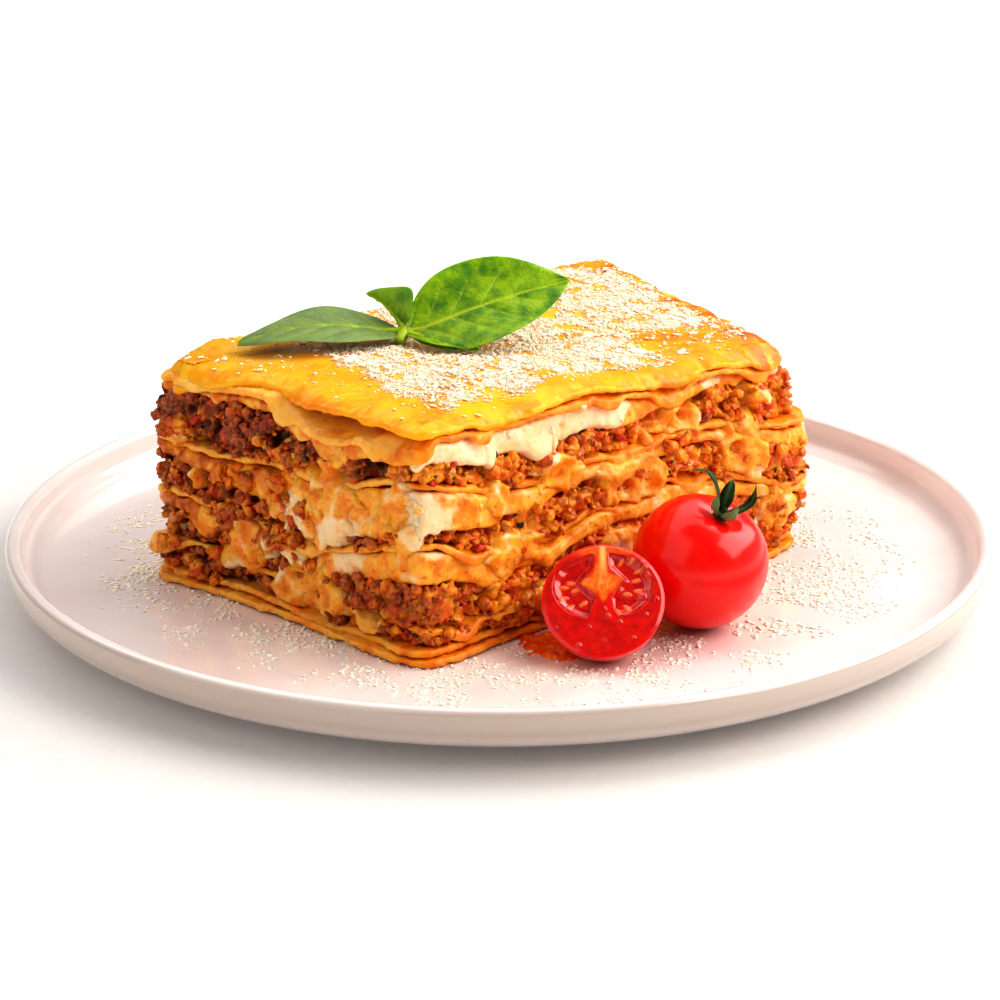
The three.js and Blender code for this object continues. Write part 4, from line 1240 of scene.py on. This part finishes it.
# The calyx's sepals: degrees round the stalk, then in mm how far out and how high the tip stands,
# the width and the bow, which is inward where it is above 0, and last the tilt in degrees.
SEPALS = (
    (11, 4.8, 10.4, 2.4, -3.6, 16),
    (90, 3.8, 9.0, 3.2, 1.0, -14),
    (154, 10.4, 9.6, 3.0, 2.0, 20),
    (217, 3.8, 6.4, 2.8, -1.2, 8),
    (290, 4.8, 6.6, 3.2, -1.6, -14),
)
HALF = {"radius": 13.7, "centre": (22.8, -70.2, 20.9), "axis": (-0.06, -0.7, 0.71)}
# On the half's cut face, in mm from its middle: the core and the two seed pockets round it.
CORE = {"middle": 4.4, "side": 4.9, "top": 5.4, "tip": 5.0}
POCKETS = {"middle": 3.4, "side": 10.9, "height": 7.9, "wall": 1.5}
SEEDS = (
    (-6.9, 4.6), (-6.0, 2.8), (-4.4, -0.5), (-7.3, -1.2), (-8.4, 3.6), (-8.6, 1.0),
    (4.4, 9.1), (6.7, 9.1), (8.1, 6.8), (7.5, 4.4), (5.4, 1.3), (7.9, 2.0), (3.3, -3.0), (5.3, -2.0),
)
DROPS = ((0.3, -2.2, 0.5), (0.9, -4.0, 0.7), (-3.2, -6.4, 0.45), (3.6, -5.5, 0.5), (9.4, -4.0, 0.5),
         (-5.7, -10.6, 0.6), (11.9, -0.4, 0.5), (-10.4, -6.2, 0.4), (6.4, -9.5, 0.45),
         (8.5, 9.3, 0.9), (9.4, 7.4, 0.8), (9.9, 5.6, 0.9), (8.6, 0.6, 1.1))
FLATTENING = 0.985


def placed(points, tomato):
    """Turns points from a tomato's own frame to its place on the plate."""
    turn = Vector((0, 0, 1)).rotation_difference(Vector(tomato["axis"])).to_matrix()
    return points @ np.array(turn).T + np.array(tomato["centre"])


def tomato_part():
    angles = np.linspace(-pi / 2, pi / 2, 90)
    dimple = TOMATO["dimple"] * np.exp(-(((pi / 2 - angles) / 0.36) ** 2))
    profile = np.column_stack([np.cos(angles), FLATTENING * np.sin(angles)]) * TOMATO["radius"]
    profile[:, 1] -= dimple
    profile[[0, -1], 0] = 0
    points, quads, triangles = turned(profile, 144)
    around = np.arctan2(points[:, 1], points[:, 0])
    height = points[:, 2] / TOMATO["radius"]
    lobes = 1 + 0.006 * np.cos(5 * around) * smoothstep(0.1, 0.85, height) * smoothstep(1.0, 0.9, height)
    points = points * lobes[:, None]
    reach = np.hypot(points[:, 0], points[:, 1]) / TOMATO["radius"]
    crown = 0.6 * smoothstep(0.3, 0.12, reach) * (height > 0)
    return placed(points, TOMATO), quads, triangles, {"crown": crown}


def calyx_part():
    floor = TOMATO["radius"] * FLATTENING - TOMATO["dimple"]
    parts = []
    for number, (degrees, reach, rise, width, bow, tilt) in enumerate(SEPALS):
        points, quads, triangles, masks = leaf_part(
            (0.7, 0, floor + 0.9), (reach, 0, floor + rise), width, bow, 0.12, tilt, 0.25, 30 + number,
            steps=(40, 12), vein_depth=0.08)
        out = np.hypot(points[:, 0], points[:, 1]) / reach
        points[:, 2] -= 0.25 * reach * smoothstep(0.62, 1.05, out) * (bow > 0)
        angle = radians(degrees)
        turn = np.array([[cos(angle), -sin(angle), 0], [sin(angle), cos(angle), 0], [0, 0, 1]])
        masks["vein"] = masks["vein"] * 0.3
        parts.append((points @ turn.T, quads, triangles, masks))
    stub = curve((0, 0, floor + 0.1), (0.1, 0.1, floor + 1.4), (0.3, 0.2, floor + 2.6), 9)
    parts.append(tube_part(stub, [1.9, 1.6, 1.3, 1.05, 0.9, 0.8, 0.75, 0.8, 0.75], vein=0.1))
    points, quads, triangles, masks = joined(parts)
    return placed(points, TOMATO), quads, triangles, masks


def core_gap(x, y):
    """How far a place on the cut face lies outside the core, which narrows upward and downward."""
    up = y - CORE["middle"]
    angle = np.arctan2(up, np.abs(x))
    below = 1 / (np.cos(angle) / CORE["side"] + np.abs(np.sin(angle)) / CORE["tip"])
    above = 1 / (np.cos(angle) / CORE["side"] + np.abs(np.sin(angle)) / CORE["top"])
    return np.hypot(x, up) - np.where(up < 0, below, above)


def pocket_share(x, y):
    """1 in the half tomato's two seed pockets and 0 in its flesh, from a place on the cut face."""
    uneven = 0.5 * bumps(points_at(x, y), 3, 87)
    outer = np.hypot(x / POCKETS["side"], (y - POCKETS["middle"]) / POCKETS["height"])
    wall = POCKETS["wall"] + 0.4 * np.maximum(0, 0.5 - y)
    share = smoothstep(0, 0.9, core_gap(x, y) + uneven) * smoothstep(0, 0.9, np.abs(x) - wall + uneven)
    return share * smoothstep(1.04, 0.94, outer + 0.06 * uneven)


def drops_on(x, y):
    """The height of the water drops on the half tomato's cut face."""
    height = 0 * x
    for drop_x, drop_y, size in DROPS:
        apart = np.hypot(x - drop_x, y - drop_y) / size
        height = height + 0.6 * size * np.sqrt(np.clip(1 - apart**2, 0, 1))
    return height


def half_tomato_part():
    """The half tomato without its pulp: a ball below, and a cut face with two pockets in it."""
    around, radius = 240, HALF["radius"]
    below = np.linspace(-pi / 2, -0.02, 60)
    ball_rows = np.column_stack([np.cos(below), FLATTENING * np.sin(below)]) * radius
    rim_radii = radius - np.array([0.02, 0.08, 0.2, 0.4])
    face_radii = np.concatenate([rim_radii, np.linspace(radius - 0.7, 0.15, 80)])
    face_rows = np.column_stack([face_radii, np.zeros(len(face_radii))])
    points, quads, triangles = turned(np.concatenate([ball_rows, face_rows, [[0, 0]]]), around)
    x, y = points[:, 0].copy(), points[:, 1].copy()
    reach = np.hypot(x, y)
    face = points[:, 2] > -0.3
    relief = 0.03 * bumps(points, 1.4, 81) + 0.22 * bumps(points, 5, 82)
    relief = relief + drops_on(x, y)
    relief = relief * smoothstep(radius, radius - 1.2, reach)
    relief = relief - 0.35 * smoothstep(radius - 0.9, radius, reach)
    points[:, 2] += np.where(face, relief - 2.4 * pocket_share(x, y), 0)
    streaks = bumps(np.column_stack([x * 1.8, y * 0.5, 0 * x]), 1.2, 88)
    rays = np.arctan2(y - CORE["middle"], x)
    rays = bumps(np.column_stack([2.4 * np.cos(rays), 2.4 * np.sin(rays), 0.12 * reach]), 1, 89)
    heart = smoothstep(0.5, -1.6, core_gap(x, y) + 0.4 * streaks + 0.9 * rays)
    rib = smoothstep(2.3, 0.7, np.abs(x) + 0.12 * (y - 6) + 0.3 * streaks) * smoothstep(4, 6, y)
    shoulder = smoothstep(9.6, 12, y) * smoothstep(8.5, 4, np.abs(x - 1))
    pale = smoothstep(1.1, 0.1, np.abs(x - 0.4)) * smoothstep(5, 11, y)
    pale = pale + 0.35 * heart * smoothstep(0, 0.7, streaks)
    core = np.maximum(heart, np.maximum(rib, 0.7 * shoulder)) * face
    skin = np.where(face, smoothstep(radius - 0.7, radius - 0.25, reach), 1)
    return placed(points, HALF), quads, triangles, {"core": core, "skin": skin, "pale": 0.8 * pale * face}


def pulp_part(side):
    """The wet gel in one seed pocket with its seeds: side is -1 on the left and 1 on the right."""
    across = np.linspace(0.8, 11.6, 70) * side
    x, y = np.meshgrid(across, np.linspace(-5.2, 11.8, 108), indexing="ij")
    share = pocket_share(x, y)
    inside = np.minimum(core_gap(x, y), np.abs(x) - POCKETS["wall"])
    outer = np.hypot(x / POCKETS["side"], (y - POCKETS["middle"]) / POCKETS["height"])
    inside = np.minimum(inside, 8.5 * (1 - outer))
    height = -0.1 - 0.75 * smoothstep(-0.2, 1.5, inside) + 0.2 * bumps(points_at(x, y), 2.8, 84)
    height = height + drops_on(x, y)
    seed_mask = np.zeros(x.shape)
    for seed_x, seed_y in SEEDS:
        facing = atan2(seed_y - CORE["middle"] + 1.5, seed_x)
        along = (x - seed_x) * cos(facing) + (y - seed_y) * sin(facing)
        sideways = (y - seed_y) * cos(facing) - (x - seed_x) * sin(facing)
        distance = np.hypot(along / 1.1, sideways / (0.55 + 0.12 * along))
        height = height + 0.22 * np.sqrt(np.clip(1 - distance**2, 0, 1))
        seed_mask = np.maximum(seed_mask, 0.85 * smoothstep(1.2, 0.5, distance))
    kept = (share[:-1, :-1] + share[1:, 1:]) > 0.02
    points, quads = closed_sheet(points_at(x, y, height), points_at(x, y, -2.4), kept)
    used, quads = np.unique(quads, return_inverse=True)
    quads = quads.reshape(-1, 4)[:, ::side]
    seeds = np.concatenate([seed_mask.ravel(), np.zeros(x.size)])[used]
    return placed(points[used], HALF), quads, [], {"seed": seeds}


def smear_part():
    """A thin film of sauce on the glaze between the slice and the half tomato."""
    xs, ys = np.meshgrid(np.linspace(2, 32, 130), np.linspace(-75, -47, 120), indexing="ij")
    flat = points_at(xs, ys)
    body = smoothstep(1.35, 0.5, np.hypot((xs - 15.5) / 10.5, (ys + 62) / 10))
    film = 0.8 * smoothstep(0.3, 0.8, body + 0.45 * layered_bumps(flat, 4, 93))
    film = film + 0.35 * np.abs(bumps(flat, 2.2, 94)) * smoothstep(0.2, 0.6, film)
    return closed_sheet(points_at(xs, ys, WELL_FLOOR - 0.12 + film), points_at(xs, ys, WELL_FLOOR - 0.3))


# The stage, in metres

FLOOR_HALF = 6
# Soft boxes: name, place, width and depth, watts and tint. Each faces the food.
SOFT_BOXES = (
    ("key_soft_box", (0.6, 0.0, 0.52), (1.1, 0.6), 7.6, "#FFFDFA"),
    ("overhead_soft_box", (-0.1, 0.4, 1.0), (1.6, 1.0), 6.6, "#FFFFFF"),
    ("left_soft_box", (-0.75, -0.55, 0.7), (1.2, 1.0), 3.2, "#FFFCF8"),
)
FOOD_MIDDLE = (0, 0, 0.03)
CAMERA_PLACE, CAMERA_TARGET = (0, -0.6609, 0.2504), (0, 0, 0.0198)
CAMERA_LENS, CAMERA_SENSOR = 103, 36


def add_aimed(scene, name, data, place, target):
    """A light or a camera at a place, turned so that it faces the target."""
    item = bpy.data.objects.new(name, data)
    item.location = place
    item.rotation_euler = (Vector(target) - Vector(place)).to_track_quat("-Z", "Y").to_euler()
    scene.collection.objects.link(item)
    return item


def add_floor(scene):
    """White paper, just under the plate so that the two don't meet."""
    half, height = FLOOR_HALF / MM, -0.1
    corners = [(-half, -half, height), (half, -half, height), (half, half, height), (-half, half, height)]
    floor = bpy.data.objects.new("paper_floor", mesh_of("paper_floor", corners, [(0, 1, 2, 3)]))
    floor.data.materials.append(paper_material())
    scene.collection.objects.link(floor)


def add_soft_boxes(scene):
    for name, place, (width, depth), power, tint in SOFT_BOXES:
        light = bpy.data.lights.new(name, "AREA")
        light.shape = "RECTANGLE"
        light.size, light.size_y = width, depth
        light.energy = power
        light.color = linear(tint)
        add_aimed(scene, name, light, place, FOOD_MIDDLE)


def white_room():
    """A world that is bright at the height of the table and dimmer above it."""
    world = bpy.data.worlds.new("white_room")
    world.use_nodes = True
    tree = world.node_tree
    tree.nodes.clear()
    direction = add_node(tree, "TexCoord").outputs["Generated"]
    height = add_node(tree, "SeparateXYZ", {"Vector": direction}).outputs["Z"]
    strength = add_node(tree, "MapRange", {0: height, 1: 0.02, 2: 0.25, 3: 0.6, 4: 0.14})
    glow = add_node(tree, "Background", {"Color": (1, 1, 1, 1), "Strength": strength})
    add_node(tree, "OutputWorld", {"Surface": glow})
    return world


def add_camera(scene):
    lens = bpy.data.cameras.new("camera")
    lens.lens = CAMERA_LENS
    lens.sensor_width = CAMERA_SENSOR
    lens.clip_end = 30
    scene.camera = add_aimed(scene, "camera", lens, CAMERA_PLACE, CAMERA_TARGET)


# Settings that a user would change

class LasagnaSizes(bpy.types.PropertyGroup):
    plate_radius: FloatProperty(
        name="Plate radius", description="From the plate's middle to its rim", default=0.12, unit="LENGTH")
    plate_height: FloatProperty(
        name="Plate height", description="From the table to the rim", default=0.0155, unit="LENGTH")
    corner_rounding: FloatProperty(
        name="Corner rounding", description="Radius of the slice's soft corners",
        default=0.003, unit="LENGTH")
    outline_spacing: FloatProperty(
        name="Outline spacing", description="Distance between the points round each layer",
        default=0.00036, unit="LENGTH")
    top_flakes: IntProperty(
        name="Cheese flakes", description="Large flakes of cheese on the top", default=500)
    top_grains: IntProperty(
        name="Cheese grains", description="Middle-sized pieces of cheese on the top", default=5200)
    top_dust: IntProperty(
        name="Cheese dust", description="Small grains of cheese on the top", default=16000)
    plate_dust: IntProperty(
        name="Plate dust", description="Grains of cheese that fell on the plate", default=6600)


class LasagnaColours(bpy.types.PropertyGroup):
    plate_colour: FloatVectorProperty(
        name="Glaze", description="The plate's glaze", subtype="COLOR", default=linear("#F3E8E4"))
    pasta_colour: FloatVectorProperty(
        name="Pasta", description="Boiled egg pasta", subtype="COLOR", default=linear("#F2AE3C"))
    top_colour: FloatVectorProperty(
        name="Top sheet", description="The buttered top sheet", subtype="COLOR", default=linear("#F8A400"))
    meat_colour: FloatVectorProperty(
        name="Meat", description="Fried minced meat", subtype="COLOR", default=linear("#B6440A"))
    white_sauce_colour: FloatVectorProperty(
        name="White sauce", description="Set white sauce", subtype="COLOR", default=linear("#FADCB6"))
    cheese_colour: FloatVectorProperty(
        name="Cheese", description="Grated hard cheese", subtype="COLOR", default=linear("#FFF2E4"))
    leaf_colour: FloatVectorProperty(
        name="Basil", description="Fresh basil leaves", subtype="COLOR", default=linear("#8EAC0E"))
    tomato_colour: FloatVectorProperty(
        name="Tomato", description="Ripe tomato skin", subtype="COLOR", default=linear("#E60600"))


def slice_line(scene):
    sizes = scene.lasagna_sizes
    return slice_outline(sizes.outline_spacing / MM, sizes.corner_rounding / MM)


class LASAGNA_OT_plate(bpy.types.Operator):
    """Builds the round glazed plate with its low wall and foot ring"""
    bl_idname = "lasagna.plate"
    bl_label = "Plate"

    def execute(self, context):
        part = turned(plate_profile(context.scene.lasagna_sizes), 320)
        glaze = glaze_material(context.scene.lasagna_colours)
        add_piece("glazed_plate", part, glaze, ["plate"])
        return {"FINISHED"}


class LASAGNA_OT_pasta(bpy.types.Operator):
    """Builds the boiled sheets in the cut faces and the baked top sheet"""
    bl_idname = "lasagna.pasta"
    bl_label = "Pasta sheets"

    def execute(self, context):
        outline = slice_line(context.scene)
        material = pasta_material(context.scene.lasagna_colours)
        for number, node in enumerate(SHEETS[:-1]):
            grid = sheet_part(node, outline, 10 + 5 * number, 0.3 if number == 0 else 1.0)
            part = closed_shell(grid, {"sauced": sauce_with_painted_side_light(outline, grid)})
            add_piece(f"boiled_sheet_{number + 1}", part, material, [node])
        top = top_sheet_part(outline, top_heights())
        buttered = top_material(context.scene.lasagna_colours)
        add_piece("baked_top_sheet", top, buttered, [SHEETS[-1]])
        return {"FINISHED"}


class LASAGNA_OT_meat(bpy.types.Operator):
    """Builds the stewed mince between the sheets with its crumbs, tomato, onion and herbs"""
    bl_idname = "lasagna.meat"
    bl_label = "Meat sauce"

    def execute(self, context):
        outline = slice_line(context.scene)
        material = meat_material(context.scene.lasagna_colours)
        random = np.random.default_rng(5)
        for number, node in enumerate(MEATS):
            part = meat_part(node, outline, 20 + number, random)
            add_piece(f"stewed_mince_{number + 1}", part, material, [node])
        add_piece("torn_chunks", chunks_part(outline, random), material)
        return {"FINISHED"}


class LASAGNA_OT_white_sauce(bpy.types.Operator):
    """Builds the bands of white sauce with their drips"""
    bl_idname = "lasagna.white_sauce"
    bl_label = "White sauce"

    def execute(self, context):
        outline = slice_line(context.scene)
        material = white_sauce_material(context.scene.lasagna_colours)
        for number, node in enumerate(BECHAMELS):
            part = white_sauce_part(node, outline, 50 + 3 * number)
            add_piece(f"white_sauce_band_{number + 1}", part, material, [node])
        return {"FINISHED"}


class LASAGNA_OT_cut_faces(bpy.types.Operator):
    """Builds what the knife dragged over the cut faces: a film of sauce and stray crumbs of mince"""
    bl_idname = "lasagna.cut_faces"
    bl_label = "Dragged sauce and crumbs"

    def execute(self, context):
        pieces = context.scene.objects
        layers = [piece.name for piece in pieces
                  if piece.name.startswith(("boiled_sheet", "stewed_mince", "white_sauce_band"))]
        outline, grid = cut_faces(context.scene, layers)
        film = smeared_part(outline, grid)
        add_piece("dragged_sauce", film, pieces["white_sauce_band_1"].active_material)
        heaps = stray_crumbs_part(outline, grid, np.random.default_rng(17))
        add_piece("stray_crumbs", heaps, pieces["stewed_mince_1"].active_material)
        return {"FINISHED"}


class LASAGNA_OT_cheese(bpy.types.Operator):
    """Scatters grated cheese over the top sheet and the plate"""
    bl_idname = "lasagna.cheese"
    bl_label = "Grated cheese"

    def execute(self, context):
        sizes = context.scene.lasagna_sizes
        cheese = context.scene.lasagna_colours.cheese_colour
        material = cheese_material("Hard cheese, finely grated", cheese, "#FCDDB4")
        random = np.random.default_rng(11)
        top_points, top_quads, _, _ = top_sheet_part(slice_line(context.scene), top_heights())
        top = surface_tree(top_points, top_quads)
        flake = (ball(2), (0.7, 1.4), (0.4, 0.8), (0.2, 0.34), 0.2)
        grain = (ball(1), (0.35, 0.8), (0.28, 0.5), (0.16, 0.28), 0.2)
        speck = (octahedron(), (0.18, 0.42), (0.14, 0.3), (0.1, 0.2), 0.25)
        on_top = {
            "cheese_flakes_on_top": ((flake, sizes.top_flakes), (grain, sizes.top_grains)),
            "cheese_dust_on_top": ((speck, sizes.top_dust),),
        }
        for name, kinds in on_top.items():
            part = cheese_part(random, top, kinds, (-82, -78), (70, 66), top_cheese_share)
            add_piece(name, part, material)
        well = surface_tree(*turned(plate_profile(sizes), 96)[:2])
        crumb = (ball(1), (0.35, 0.8), (0.3, 0.6), (0.16, 0.3), 0.0)
        fallen_speck = (*speck[:4], 0.0)
        kinds = [
            (crumb, round(sizes.plate_dust * 0.35)),
            (fallen_speck, round(sizes.plate_dust * 0.65)),
        ]
        part = cheese_part(random, well, kinds, (-104, -104), (104, 104), dust_share)
        # A lighter, less tan copy of the cheese for the grains on the plate: painted light, so that grains
        # whose sides fall in shade still read pale.
        dry = cheese_material("Hard cheese, grated and dry", linear("#FFFAF0"), "#FFF2D8")
        add_piece("cheese_on_plate", part, dry)
        return {"FINISHED"}


class LASAGNA_OT_basil(bpy.types.Operator):
    """Builds the sprig of basil on the top"""
    bl_idname = "lasagna.basil"
    bl_label = "Basil"

    def execute(self, context):
        material = leaf_material(context.scene.lasagna_colours)
        add_piece("fresh_basil", basil_part(), material, ["basil_sprig"])
        return {"FINISHED"}


class LASAGNA_OT_tomatoes(bpy.types.Operator):
    """Builds the whole and the half cherry tomato, with calyx, pulp and a smear of sauce"""
    bl_idname = "lasagna.tomatoes"
    bl_label = "Cherry tomatoes"

    def execute(self, context):
        colours = context.scene.lasagna_colours
        skin = tomato_material(colours)
        add_piece("whole_tomato", tomato_part(), skin, ["cherry_tomato"])
        add_piece("tomato_star", calyx_part(), calyx_material(), ["tomato_calyx"])
        flesh = flesh_material(colours)
        add_piece("cut_tomato", half_tomato_part(), flesh, ["tomato_half"])
        gel = gel_material()
        for side, name in ((-1, "left"), (1, "right")):
            pulp = pulp_part(side)
            add_piece(f"seeds_and_gel_{name}", pulp, gel, [f"tomato_pulp_{name}"])
        add_piece("sauce_smear", smear_part(), smear_material())
        return {"FINISHED"}


class LASAGNA_OT_stage(bpy.types.Operator):
    """Sets the white floor, the soft boxes and the camera"""
    bl_idname = "lasagna.stage"
    bl_label = "Stage"

    def execute(self, context):
        add_floor(context.scene)
        add_soft_boxes(context.scene)
        context.scene.world = white_room()
        context.scene.view_settings.view_transform = "Standard"
        context.scene.view_settings.look = "High Contrast"
        add_camera(context.scene)
        return {"FINISHED"}


class LASAGNA_PT_panel(bpy.types.Panel):
    """Lists the sizes, the colours and the pieces in the order in which they are built"""
    bl_idname = "LASAGNA_PT_panel"
    bl_label = "Plate of Lasagna"
    bl_space_type = "VIEW_3D"
    bl_region_type = "UI"
    bl_category = "Lasagna"

    def draw(self, context):
        for group in (context.scene.lasagna_sizes, context.scene.lasagna_colours):
            box = self.layout.box()
            for name in group.__annotations__:
                box.prop(group, name)
        for operator in OPERATORS:
            self.layout.operator(operator.bl_idname)


OPERATORS = (
    LASAGNA_OT_plate, LASAGNA_OT_pasta, LASAGNA_OT_meat, LASAGNA_OT_white_sauce, LASAGNA_OT_cut_faces,
    LASAGNA_OT_cheese, LASAGNA_OT_basil, LASAGNA_OT_tomatoes, LASAGNA_OT_stage,
)
GROUPS = (LasagnaSizes, LasagnaColours)


def register():
    for item in (*GROUPS, *OPERATORS, LASAGNA_PT_panel):
        bpy.utils.register_class(item)
    bpy.types.Scene.lasagna_sizes = PointerProperty(type=LasagnaSizes)
    bpy.types.Scene.lasagna_colours = PointerProperty(type=LasagnaColours)


def unregister():
    del bpy.types.Scene.lasagna_colours
    del bpy.types.Scene.lasagna_sizes
    for item in reversed((*GROUPS, *OPERATORS, LASAGNA_PT_panel)):
        bpy.utils.unregister_class(item)


def main():
    register()
    bpy.ops.lasagna.plate()
    bpy.ops.lasagna.pasta()
    bpy.ops.lasagna.meat()
    bpy.ops.lasagna.white_sauce()
    bpy.ops.lasagna.cut_faces()
    bpy.ops.lasagna.cheese()
    bpy.ops.lasagna.basil()
    bpy.ops.lasagna.tomatoes()
    bpy.ops.lasagna.stage()
    bpy.context.view_layer.update()


if __name__ == "__main__":
    main()
